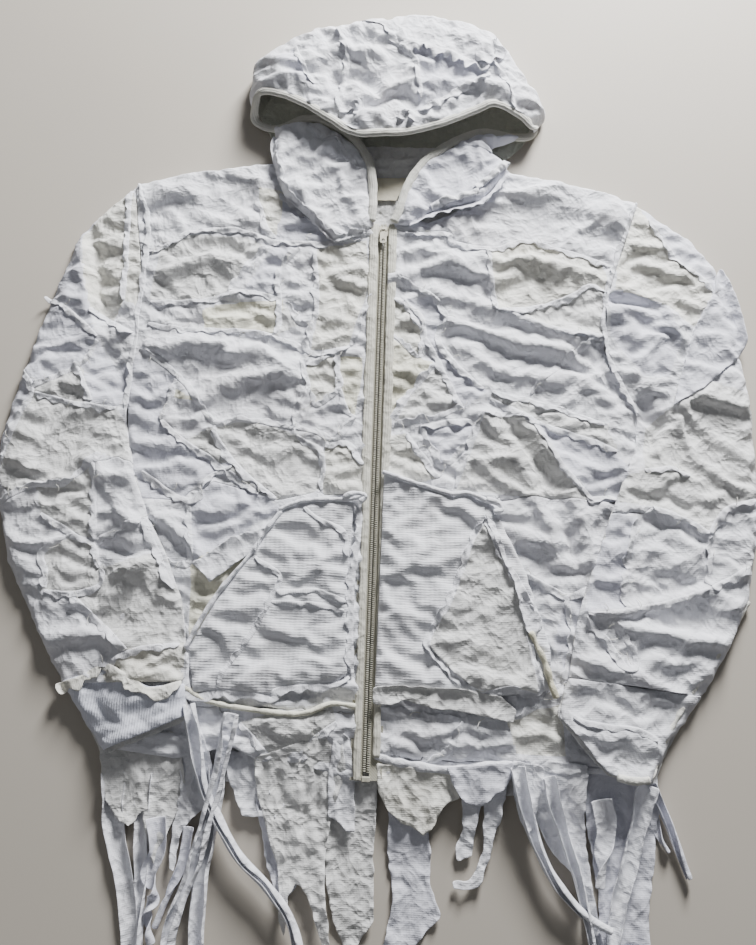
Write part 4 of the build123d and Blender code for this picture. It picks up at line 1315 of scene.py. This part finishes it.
def make_pockets():
    """Both pockets, with their welts, torn patches, flaps, rolled edges and folded bands."""
    welts = [[(-101, -156), (-58, -154), (-25, -165)], [(-107, -167), (-56, -168), (-28, -175)]]
    diagonal = [(-125, -121), (-96, -141), (-105, -167), (-123, -205), (-146, -238), (-154, -258)]
    inner = [(-76, -66), (-58, -79), (-36, -87), (-28, -97), (-27, -118)]
    left = crumple(LEFT_POCKET, [diagonal, inner, welts[0]], pocket_height(LEFT_POCKET),
                   3.8, (0.04, 0.07), 0.015, 0.6, 21, 22)
    piece = make_piece("pocket_left_cloth", left.cut(everything), ["fleece"],
                       replaces=["pocket_left"])
    declare(piece, (0.04, 0.07))

    on_left = on_top(left, lambda x, y: max(19.0, on_fronts(x, y)))
    bm = bmesh.new()
    total = 0.0
    for number, path in enumerate(welts):
        total += sweep(bm, path, raw_edge(5.0, 70 + number, 1.0), 3.0, on_left)
    piece = make_piece("pocket_left_double_welt", bm, ["fleece"], thick=TORN_THICK,
                       replaces=["pocket_left_welt"])
    declare_strips(piece)

    seam_strips("pocket_left_seams", [diagonal, inner], on_left, "white", 74, 5.0, 1.6)
    flap = [(-192, -131), (-149, -99), (-114, -89), (-125, -116), (-138, -123), (-170, -150),
            (-179, -139)]
    laid_piece("pocket_left_torn_flap", flap, lambda x, y: max(on_left(x, y), 19.5), "white",
               rests_on=["pocket_left_cloth"], replaces=["pocket_left_torn_strip"],
               lift=1.5, step=3.5, edge=4.0, seed=75, wave=1.6)

    slant = [(-100, -71), (-114, -91), (-129, -117), (-157, -155), (-175, -186), (-190, -218)]
    top = [(-103, -70), (-81, -60), (-55, -57), (-30, -56), (-9, -51)]
    curl = [(-34, -55), (-22, -49), (-10, -52), (-16, -59)]
    rolled_piece("pocket_left_rolled_edges", [
        (slant, tube(2.6, 76, 0.35), 3.0, 20.0), (top, tube(2.8, 77, 0.4), 3.0, 20.5),
        (curl, tube(3.0, 78, 0.5), 2.0, 21.0),
    ], "white")
    bottom = [(-190, -255), (-159, -270), (-97, -278), (-64, -278), (-38, -268), (-12, -270)]
    rolled_piece("pocket_left_hem_roll", [(bottom, tube(3.0, 80, 0.4), 3.0, 15.0)], "cream",
                 replaces=["pocket_left_hem_welt"])
    edge = [(-188, -222), (-180, -262), (-154, -259), (-108, -262), (-98, -264), (-93, -255),
            (-33, -248), (-20, -241)]
    seam_strips("pocket_left_torn_bottom", [edge, [(-23, -60), (-14, -77), (-20, -151),
                                                   (-17, -238)]],
                on_left, "white", 82, 7.5, 2.2)

    right = crumple(RIGHT_POCKET, [], pocket_height(RIGHT_POCKET), 3.8, (0.04, 0.06),
                    0.015, 0.6, 22, 22)
    piece = make_piece("pocket_right_cloth", right.cut(everything), ["fleece"],
                       replaces=["pocket_right"])
    declare(piece, (0.04, 0.06))

    on_right = on_top(right, lambda x, y: max(19.0, on_fronts(x, y)))
    patch = [(122, -73), (106, -99), (85, -159), (59, -206), (84, -232), (110, -252), (145, -247),
             (172, -252), (162, -192), (150, -140), (134, -103)]
    patch_cloth = laid_piece(
        "pocket_right_torn_patch_cloth", patch, lambda x, y: max(on_right(x, y), 21.0), "grey",
        rests_on=["pocket_right_cloth"], replaces=["pocket_right_torn_patch"],
        lift=1.8, step=3.6, edge=3.0, seed=85, wave=1.4,
        seams=[[(118, -80), (110, -150), (104, -200), (112, -250)]])
    on_patch = on_top(patch_cloth, on_right)
    flap = [(118, -68), (130, -78), (142, -115), (177, -178), (170, -196), (160, -190),
            (148, -140), (132, -104)]
    laid_piece("pocket_right_folded_flap", flap, lambda x, y: max(on_patch(x, y), 21.0), "white",
               held="folded", rests_on=["pocket_right_torn_patch_cloth"],
               lift=1.5, step=3.5, edge=3.5, seed=86, wave=1.2)
    seam_strips("pocket_right_patch_edges", [
        [(120, -74), (106, -99), (85, -159), (60, -205), (84, -232), (110, -251), (145, -246),
         (172, -251), (166, -215), (162, -192)],
        [(119, -70), (140, -115), (176, -178), (168, -194)],
    ], on_patch, "white", 88, 6.5, 2.8)

    top = [(7, -24), (42, -35), (82, -46), (101, -45), (126, -55)]
    curl = [(120, -52), (131, -55), (138, -62), (128, -66)]
    rolled_piece("pocket_right_rolled_top", [
        (top, tube(2.8, 90, 0.3), 3.0, 20.0), (curl, tube(3.2, 91, 0.5), 2.0, 21.5),
    ], "white")
    frayed = [(165, -190), (172, -206), (178, -218), (184, -240), (190, -256)]
    rolled_piece("pocket_right_frayed_roll", [(frayed, tube(3.4, 92, 0.6), 2.0, 21.0)], "stiff",
                 replaces=["pocket_right_rolled_edge"])

    band = [(4, -250), (35, -248), (101, -250), (134, -256), (150, -268), (146, -281), (100, -272),
            (60, -268), (36, -262), (22, -268), (4, -268)]
    laid_piece("pocket_right_folded_band", band, lambda x, y: max(on_right(x, y), 17.5), "grey",
               held="folded", rests_on=["pocket_right_cloth"], replaces=["pocket_right_band"],
               lift=2.4, step=3.6, edge=2.6, seed=93, wave=1.2,
               seams=[[(4, -257), (60, -258), (146, -270)]])


# ---------------------------------------------------------------- zip


def finish_node(name, material):
    """Gives a carried-over part of the zip its finish."""
    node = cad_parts[name]
    node.data.materials.clear()
    node.data.materials.append(material)


def make_zip():
    """The rib plackets and teeth on both sides, and the finishes of the zip's other parts."""
    for side, sign, bottom in (("left", -1, -340), ("right", 1, -318)):
        def section(share, along):
            near = 5.7 + 0.5 * ruffle(along, 0, sign + 5, 22)
            wide = mix(8.0, 11.0, ramp(share, 0.4, 0.6)) + 1.2 * ruffle(along, 0, sign + 3, 16)
            spots = []
            for part in (0.0, 0.08, 0.3, 0.5, 0.7, 0.92, 1.0):
                up = 1.0 + 0.8 * sin(pi * part) + 0.7 * ruffle(along, 9 * part, sign + 7, 7)
                spots.append((-sign * (near + wide * part), up if 0 < part < 1 else 0.2))
            return spots[::-1] if sign > 0 else spots

        bm = bmesh.new()
        length = sweep(bm, [(0, bottom), (0, -120), (0, 60), (0, 200), (0, 288)], section, 3.0,
                       lambda x, y: 16.2)
        piece = make_piece(f"placket_{side}_rib", bm, ["aged"], replaces=[f"placket_{side}"],
                           thick=TORN_THICK)
        declare_strips(piece)
        finish_node(f"zip_tape_{side}", TAPE)
        make_teeth(side, sign)
    for node in ("zip_slider", "zip_pull"):
        finish_node(node, ENAMEL)
    for node in ("zip_top_stops", "zip_retainer_box", "zip_insertion_pin"):
        finish_node(node, TEETH)


def make_teeth(side, sign):
    """One row of a moulded coil: small rounded loops side by side, up to the closed middle."""
    pitch = 2.1
    top, bottom = 284.0, -334.0
    bm = bmesh.new()
    for number in range(int((top - bottom) / pitch)):
        y = top - number * pitch - (pitch / 2 if sign > 0 else 0)
        tooth = bmesh.ops.create_cube(bm, size=1.0)["verts"]
        for v in tooth:
            narrow = 0.62 if v.co.z > 0 else 1.0
            v.co = (sign * (1.95 + v.co.x * sign * 2.9), y + v.co.y * 1.75 * narrow,
                    14.2 + v.co.z * 2.4 - (0.5 if v.co.x * sign < 0 and v.co.z > 0 else 0))
    make_piece(f"zip_teeth_{side}", bm, [TEETH], replaces=[f"zip_coil_{side}"], thick=0, smooth=0)



# ---------------------------------------------------------------- collar, neck and hood

# The hood's outer fold, from its left end round to its right one, and then its lip back again.
HOOD_RIM = [
    (-167, 452), (-173, 470), (-168, 508), (-140, 527), (-113, 541), (-76, 556), (-36, 567),
    (6, 571), (43, 570), (76, 566), (108, 556), (133, 545), (150, 528), (168, 505), (186, 480),
    (196, 455), (182, 430),
]
# The fold bulges beyond the cut: 3 % to each side, and 17 mm away from the body.
HOOD_RIM = [(x * 1.03, y + 17 * ramp(y, 470, 560)) for x, y in HOOD_RIM]
HOOD_LIP = [
    (182, 430), (165, 437), (132, 443), (107, 434), (69, 416), (27, 402), (-4, 396), (-39, 400),
    (-69, 417), (-99, 437), (-132, 454), (-158, 461), (-167, 452),
]
CROWN_SEAMS = [
    [(-36, 567), (-14, 560), (4, 545), (12, 529), (30, 514), (39, 487), (42, 447), (40, 406)],
    [(12, 529), (44, 530), (64, 524), (84, 516), (110, 501), (132, 505)],
    [(38, 429), (127, 490)],
    [(-118, 522), (-104, 489), (-90, 464)],
    [(-64, 556), (-50, 500), (-60, 426)],
    [(132, 505), (150, 480), (158, 440)],
]
HOOD_FOLDS = [
    ([(-60, 470), (-40, 480), (-20, 470)], 12, -6),
    ([(-100, 500), (-60, 520), (-20, 515)], 12, 5),
    ([(60, 470), (100, 470), (140, 462)], 10, 5),
    ([(50, 548), (90, 540), (120, 525)], 10, 4),
    ([(-20, 440), (10, 452), (36, 440)], 9, -4),
]


def hood_height(x, y):
    """The hood lies folded over on its back, so that its far side is a thick rolled fold."""
    rise = dome(nearest(x, y, HOOD_RIM)[0], mix(60, 36, ramp(y, 470, 560)))
    return 4 + 41 * rise + rise * folds_at(x, y, HOOD_FOLDS)


COLLAR_LEFT = [
    (-150, 436), (-133, 428), (-106, 438), (-82, 434), (-56, 418), (-35, 398), (-20, 370),
    (-15, 340), (-13, 305), (-11, 286), (-22, 275), (-58, 262), (-88, 292), (-120, 322),
    (-138, 372), (-142, 392), (-140, 413),
]
COLLAR_RIGHT = [
    (178, 426), (150, 427), (123, 427), (96, 414), (72, 396), (47, 372), (29, 341), (18, 304),
    (11, 286), (30, 285), (58, 303), (117, 322), (152, 364), (147, 378), (134, 392), (130, 406),
    (150, 412),
]


def collar_height(x, y, outline):
    """Over the yoke the collar lies higher than where it rests on the neck."""
    away = nearest(x, y, outline + outline[:1])[0]
    low = mix(17.5, 7.0, ramp(y, 366, 415))
    high = mix(25.0, 21.0, ramp(y, 380, 430))
    return mix(low, high, dome(away, 20))


def make_hood():
    """The hood's three panels, torn seams, raw flaps and back. Returns the height on top of it."""
    hood = crumple(HOOD_RIM + HOOD_LIP[1:-1], CROWN_SEAMS, hood_height, 4.6, (0.12, 0.16), seed=41)

    def part(x, y):
        """0 for the left panel, 1 for the crown and 2 for the right one."""
        left_line, right_line = CROWN_SEAMS[4], CROWN_SEAMS[5]
        if x < nearest(x, y, left_line)[1]:
            return 0
        return 2 if x > nearest(x, y, right_line)[1] and x > 120 else 1

    wedge = [(38, 429), (127, 490), (132, 505), (110, 501), (84, 516), (64, 524), (44, 530),
             (12, 529), (30, 514), (39, 487)]
    corner = [(-118, 522), (-104, 489), (-90, 464), (-120, 470), (-140, 500)]
    choose = tones_of([("lavender", wedge), ("lavender", corner)])
    for number, (name, node) in enumerate((("hood_left_cloth", "hood_left_panel"),
                                           ("hood_crown_cloth", "hood_crown_panel"),
                                           ("hood_right_cloth", "hood_right_panel"))):
        bm = hood.cut(lambda x, y: part(x, y) == number)
        piece = make_piece(name, bm, TONES[:2], replaces=[node], tone_at=choose, blend=True)
        declare(piece, (0.12, 0.16))

    on_hood = on_top(hood, hood_height)
    seam_strips("hood_torn_seams", [CROWN_SEAMS[0][:7], CROWN_SEAMS[3], CROWN_SEAMS[4],
                                    CROWN_SEAMS[5]], on_hood, "white", 95, 7.0, 2.6, blend=True)
    bm = bmesh.new()
    length = 0.0
    for path, width, lift, seed in (
        (CROWN_SEAMS[1], 15.0, 6.0, 3.3), (CROWN_SEAMS[2], 11.0, 4.0, 5.1),
        ([(-60, 426), (-34, 442), (-38, 418)], 9.0, 4.0, 7.7),
        ([(12, 414), (27, 435), (34, 412)], 9.0, 4.0, 9.9),
        ([(108, 514), (124, 512), (134, 520), (130, 536)], 16.0, 6.0, 12.0),
    ):
        length += sweep(bm, path, raw_edge(width, seed, lift), 2.6, on_hood)
    piece = make_piece("hood_raw_flaps_cloth", bm, ["white"], replaces=["hood_raw_flaps"],
                       thick=TORN_THICK, blend=True)
    declare_strips(piece)

    back = [(-135, 384), (-60, 372), (60, 372), (140, 384), (170, 410), (184, 434), (192, 456),
            (166, 502), (132, 541), (76, 562), (6, 567), (-40, 562), (-112, 537), (-164, 503),
            (-169, 458), (-150, 425)]
    sheet = lay_sheet(back, lambda x, y: 0.0, 3.4, 6.5, 0.4, 43, wave=1.6,
                      seams=[[(-120, 392), (130, 392)]])
    piece = make_piece("hood_back_cloth", sheet.cut(everything), ["lining"],
                       replaces=["hood_back_panel"], blend=True)
    declare(piece)
    return on_hood


def make_collar(on_hood):
    """Both collars, the casing on the right one, the bound edge, the neck facing and the label."""
    for side, outline, sign, seams, free_edge in (
        ("left", COLLAR_LEFT, -1, [[(-100, 430), (-80, 411), (-60, 409), (-50, 386), (-29, 361)],
                                   [(-134, 395), (-100, 398), (-72, 404)]], COLLAR_LEFT[-7:]),
        ("right", COLLAR_RIGHT, 1, [[(132, 392), (104, 398), (84, 402)]], COLLAR_RIGHT[9:13]),
    ):
        sheet = crumple(outline, seams, lambda x, y: collar_height(x, y, outline), 4.2, (0.14, 0.12),
                        seed=51 + sign)
        tone = "white" if side == "left" else "lavender"
        piece = make_piece(f"collar_{side}_cloth", sheet.cut(everything), [tone],
                           replaces=[f"collar_{side}"], blend=True)
        declare(piece, (0.14, 0.12))
        on_collar = on_top(sheet, lambda x, y: collar_height(x, y, outline))
        seam_strips(f"collar_{side}_torn_edge", [seams[0], free_edge], on_collar, tone, 100 + sign,
                    7.0, 2.6, blend=True)
        if side == "right":
            bm = bmesh.new()
            length = 0.0
            for path, seed in (([(56, 309), (84, 321), (114, 331)], 1.0),
                               ([(110, 336), (128, 352), (150, 376)], 2.0)):
                def casing(share, along):
                    half = 4.6 * (1 + 0.08 * ruffle(along, 0, seed, 9))
                    ridge = 0.9 + 0.6 * ruffle(along, 40, seed, 4)
                    return [(-half, 0.6), (-half * 0.8, 1.8 + ridge), (0, 1.4 + ridge),
                            (half * 0.8, 1.8 + ridge), (half, 0.6)]
                length += sweep(bm, path, casing, 2.0, lambda x, y: on_collar(x, y) + 0.6)
            piece = make_piece("collar_casing_cloth", bm, ["white"], replaces=["collar_casing"],
                               thick=TORN_THICK)
            declare_strips(piece)

    make_binding(on_hood)
    facing = [(-100, 396), (-60, 330), (-22, 284), (22, 284), (70, 330), (115, 396), (100, 408),
              (-90, 408)]
    folds = [([(-40, 388), (0, 384), (50, 389)], 4, 5), ([(-40, 374), (0, 371), (50, 376)], 4, 4)]
    laid_piece("neck_facing_cloth", facing, lambda x, y: 2.6 + folds_at(x, y, folds), "grey",
               rests_on=["back_cloth"], replaces=["neck_facing"],
               lift=1.5, step=3.6, edge=0.4, seed=44, wave=1.0)
    label = [(-15, 359), (33, 360), (15, 328), (-13, 327)]
    laid_piece("neck_label_cloth", label, lambda x, y: 6.0, "label",
               rests_on=["neck_facing_cloth"], replaces=["neck_label"], thick=0.4,
               lift=1.4, step=3.0, edge=0.3, seed=45, wave=0.3)


def make_binding(on_hood):
    """One folded band of rib round the whole opening: over the lip and down both lapels."""
    lip = [(x, y - 1, on_hood(x, y + 4) - 2) for x, y in HOOD_LIP[::-1]]
    left_end = [(-15, 288, 21), (-14, 312, 22), (-15, 340, 23), (-20, 370, 23), (-35, 398, 22),
                (-56, 419, 20), (-82, 435, 17), (-106, 438, 14), (-133, 428, 9), (-152, 430, 6),
                (-168, 441, 5)]
    right_end = [(188, 444, 5), (182, 428, 6), (158, 424, 8), (123, 427, 12), (96, 414, 17),
                 (72, 396, 21), (47, 372, 23), (29, 341, 23), (18, 304, 22), (12, 288, 21)]
    path = left_end + lip + right_end
    bm = bmesh.new()

    def band(share, along):
        half = 5.6 * (1 + 0.14 * ruffle(along, 0, 3.0, 14))
        return [(-half * cos(2 * pi * k / 12), 3.1 * sin(2 * pi * k / 12)) for k in range(13)]

    length = sweep(bm, path, band, 3.0)
    close_tubes(bm)
    piece = make_piece("hood_edge_binding_rib", bm, ["rib"], replaces=["hood_edge_binding"],
                       thick=0, blend=True)
    declare_strips(piece)


# ---------------------------------------------------------------- fringe


def settle(start, low):
    """Lets a strip come down from the hem to what it lies on."""
    return lambda points: [(x, y, mix(start, low, ramp(k / (len(points) - 1), 0, 0.3)))
                           for k, (x, y) in enumerate(points)]


def strips_piece(name, strips, tone, replaces, seed=0):
    """Torn strips that hang from one part of the hem, as one piece.

    Each strip is (path, width, tip share, roll, twist, height at the hem, height at the tip).
    """
    bm = bmesh.new()
    total = 0.0
    for number, (path, width, tip, roll, twist, high, low) in enumerate(strips):
        section = torn(width, tip, roll, seed + number * 3.1, twist)
        total += sweep(bm, settle(high, low)(path), section, 3.2)
    piece = make_piece(name, bm, [tone], replaces=replaces, thick=TORN_THICK)
    return declare_strips(piece)


def hang(name, outline, tone, high=9.0, low=2.5, replaces=(), seed=1, pleat=3.2):
    """A torn tail of cloth that comes down from the hem in long folds."""
    top = max(y for _, y in outline)

    def over(x, y):
        folds = pleat * ruffle(x, y * 0.28, seed, 8) + pleat * 0.6 * ruffle(x, y * 0.5, seed + 2, 4)
        return mix(high, low, ramp(top - y, 10, 75)) + folds * ramp(top - y, -20, 40)

    sheet = lay_sheet(outline, over, 1.2, 3.4, 3.0, seed + 4, wave=1.2)
    piece = make_piece(name, sheet.cut(everything), [tone], replaces=replaces, thick=TORN_THICK)
    return declare(piece, (0.06, 0.0))


def make_threads():
    """Loose sewing threads and jersey fibres that stick out of the torn edges."""
    bm = bmesh.new()
    places = [(path[k], path[k + 1], on) for paths, on in (
        (LEFT_TORN, on_fronts), (RIGHT_TORN, on_fronts),
        (LEFT_SLEEVE_TORN, on_left_sleeve), (RIGHT_SLEEVE_TORN, on_right_sleeve),
    ) for path in paths for k in range(len(path) - 1)]
    for number, ((ax, ay), (bx, by), over) in enumerate(places):
        share = 0.5 + 0.9 * ruffle(number, 0, 5.5, 1.7)
        x, y = mix(ax, bx, share), mix(ay, by, share)
        heading = 2 * pi * ruffle(number, 3, 6.5, 1.7)
        reach = 7 + 9 * abs(ruffle(number, 6, 7.5, 1.7))
        bend = 3 * ruffle(number, 9, 8.5, 1.7)
        path = []
        for k in range(4):
            along = reach * k / 3
            turn = heading + bend * k / 3
            px, py = x + along * cos(turn), y + along * sin(turn)
            path.append((px, py, over(px, py) + 2.6 + 1.2 * sin(pi * k / 3)))
        sweep(bm, path, tube(0.32, number, 0, 4), 3.0)
    close_tubes(bm)
    make_piece("loose_threads", bm, ["ivory"], thick=0, smooth=0)


def make_fringe():
    """Torn tails and rolled strips all along the hem, and the casing that the right ones leave."""
    hang("fringe_left_skirt", [
        (-269, -318), (-260, -312), (-196, -299), (-185, -318), (-178, -358), (-188, -379),
        (-194, -397), (-202, -411), (-203, -424), (-209, -416), (-218, -384), (-225, -361),
        (-225, -384), (-232, -389), (-245, -385), (-254, -372), (-263, -356),
    ], "grey", 9, 6, seed=401)
    hang("fringe_left_gather", [
        (-187, -308), (-184, -298), (-168, -298), (-158, -317), (-150, -350), (-157, -369),
        (-173, -383), (-180, -394), (-182, -412), (-183, -430), (-189, -426), (-190, -399),
        (-188, -379), (-184, -355),
    ], "white", 11, 6, seed=402)
    hang("fringe_left_low_flap", [
        (-146, -318), (-107, -316), (-86, -378), (-101, -377), (-121, -378), (-137, -345),
    ], "white", 6, 4, seed=403)
    hang("fringe_left_back_tail", [
        (-112, -350), (-84, -350), (-71, -425), (-63, -438), (-72, -450), (-82, -455), (-97, -412),
    ], "lavender", 3, 1, seed=404)
    hang("fringe_gathered_tail_cloth", [
        (-112, -322), (-68, -306), (-28, -294), (-19, -330), (-34, -376), (-37, -424), (-36, -441),
        (-29, -490), (-36, -492), (-50, -450), (-63, -433), (-71, -447), (-71, -464), (-73, -484),
        (-80, -470), (-80, -451), (-84, -421), (-98, -385), (-110, -350),
    ], "grey", 13, 6, ["fringe_gathered_tail"], 405, 4.5)
    hang("fringe_centre_flap", [
        (-33, -290), (-17, -300), (-11, -341), (-9, -388), (-16, -388), (-27, -378), (-36, -376),
        (-38, -337),
    ], "white", 14, 8, seed=406)
    hang("fringe_centre_tails_cloth", [
        (-38, -335), (11, -332), (12, -360), (10, -404), (12, -466), (0, -484), (-6, -494),
        (-16, -493), (-29, -463), (-37, -428), (-38, -383),
    ], "grey", 5, 1.5, ["fringe_centre_tails"], 407, 1.6)
    hang("fringe_frayed_bunch_cloth", [
        (10, -322), (34, -326), (84, -325), (94, -354), (77, -362), (70, -379), (58, -390),
        (48, -381), (35, -378), (22, -366), (12, -350),
    ], "ivory", 12, 7, ["fringe_frayed_bunch"], 408, 4.0)
    hang("fringe_right_tail_cloth", [
        (24, -345), (58, -350), (66, -403), (66, -434), (77, -460), (60, -478), (47, -496),
        (30, -522), (15, -515), (26, -470), (30, -448), (23, -404),
    ], "lavender", 6, 1, ["fringe_right_tail"], 409, 2.4)
    hang("fringe_right_point", [
        (80, -324), (148, -318), (141, -341), (130, -348), (115, -361), (99, -358), (88, -345),
    ], "lavender", 15, 11, seed=410, pleat=1.8)
    hang("fringe_short_strips_cloth", [
        (95, -335), (121, -335), (110, -384), (106, -406), (92, -413), (90, -401), (97, -383),
    ], "white", 8, 3, ["fringe_short_strips"], 411)
    hang("fringe_short_tail", [
        (118, -330), (144, -330), (135, -373), (129, -384), (124, -410), (112, -436), (88, -437),
        (87, -430), (106, -428), (117, -401),
    ], "white", 8, 3, seed=412)
    hang("fringe_right_gather", [
        (146, -316), (178, -322), (168, -377), (160, -385), (152, -370), (146, -348),
    ], "white", 14, 9, seed=413, pleat=4.0)
    hang("fringe_cone_cloth", [
        (166, -316), (222, -318), (217, -366), (219, -398), (225, -442), (230, -486), (220, -488),
        (205, -420), (185, -402), (166, -368),
    ], "white", 13, 4, ["fringe_cone"], 414, 4.0)
    hang("fringe_right_block", [
        (214, -318), (286, -322), (294, -346), (287, -396), (279, -440), (275, -520), (262, -535),
        (252, -500), (242, -520), (228, -515), (229, -433), (220, -380),
    ], "lavender", 7, 1.5, seed=415, pleat=3.0)
    strips_piece("fringe_left_strips_cloth", [
        ([(-254, -340), (-250, -375), (-245, -400), (-231, -440), (-220, -495), (-212, -560)],
         27, 0.45, 0.40, 0.0, 3, 0.5),
        ([(-222, -340), (-221, -380), (-217, -424), (-213, -464), (-208, -515)], 22, 0.7, 0.5,
         0.3, 3, 0.5),
        ([(-150, -330), (-148, -360), (-152, -393), (-157, -437), (-156, -493), (-150, -570)],
         34, 0.75, 0.8, 0.0, 5, 0.5),
    ], "white", ["fringe_left_strips"], seed=200)
    strips_piece("fringe_left_tails_cloth", [
        ([(-205, -380), (-201, -410), (-208, -432), (-199, -448), (-206, -466), (-198, -492)],
         24, 0.4, 0.35, 1.4, 9, 4),
        ([(-172, -388), (-176, -420), (-187, -449), (-198, -479)], 15, 0.7, 0.6, 0.5, 7, 2),
    ], "lavender", ["fringe_left_tails"], seed=230)
    strips_piece("fringe_left_roll_cloth", [
        ([(-180, -272), (-174, -300), (-162, -346), (-148, -373), (-123, -410), (-94, -436),
          (-71, -461), (-58, -490), (-48, -540)], 30, 0.8, 0.88, 0.1, 17, 8),
    ], "white", ["fringe_left_roll"], seed=240)
    strips_piece("fringe_left_drawn_strip_cloth", [
        ([(-136, -280), (-141, -310), (-151, -364), (-163, -420), (-177, -464), (-181, -500),
          (-176, -550)], 38, 0.85, 0.82, 0.1, 19, 8),
    ], "white", ["fringe_left_drawn_strip"], seed=250)
    strips_piece("fringe_right_roll_cloth", [
        ([(150, -322), (154, -345), (160, -368), (168, -391), (180, -417), (199, -441),
          (218, -457), (238, -467)], 30, 0.6, 0.8, 0.2, 15, 9),
        ([(180, -330), (190, -370), (204, -410), (214, -450), (222, -492)], 26, 0.5, 0.7, 0.1,
         17, 9),
        ([(232, -350), (237, -378), (232, -405), (229, -430)], 26, 0.7, 0.5, 0.4, 14, 7),
        ([(278, -335), (268, -375), (255, -415), (245, -450), (236, -500)], 32, 0.6, 0.6, 0.1,
         13, 6),
    ], "white", ["fringe_right_roll"], seed=310)
    strips_piece("fringe_right_strips_cloth", [
        ([(284, -335), (292, -352), (302, -375), (312, -404), (318, -421)], 20, 0.7, 0.8, 0.2, 10,
         1.5),
        ([(280, -340), (286, -362), (292, -385), (300, -398)], 14, 0.5, 0.5, 0.3, 8, 1.0),
        ([(222, -470), (226, -510), (224, -545)], 20, 0.6, 0.4, 0.3, 3, 0.5),
        ([(256, -480), (258, -520), (254, -560)], 24, 0.6, 0.4, 0.3, 3, 0.5),
    ], "lavender", ["fringe_right_strips"], seed=330)
    casing = [(8, -316), (30, -322), (85, -328), (128, -321), (170, -325), (215, -326)]
    rolled_piece("hem_right_casing", [(casing, tube(4.2, 350, 0.45, 10, 0.62), 2.6, 10.5)], "white")


make_body()
make_back()
make_sleeves()
make_cuffs()
make_pockets()
make_zip()
make_collar(make_hood())
make_fringe()
make_threads()
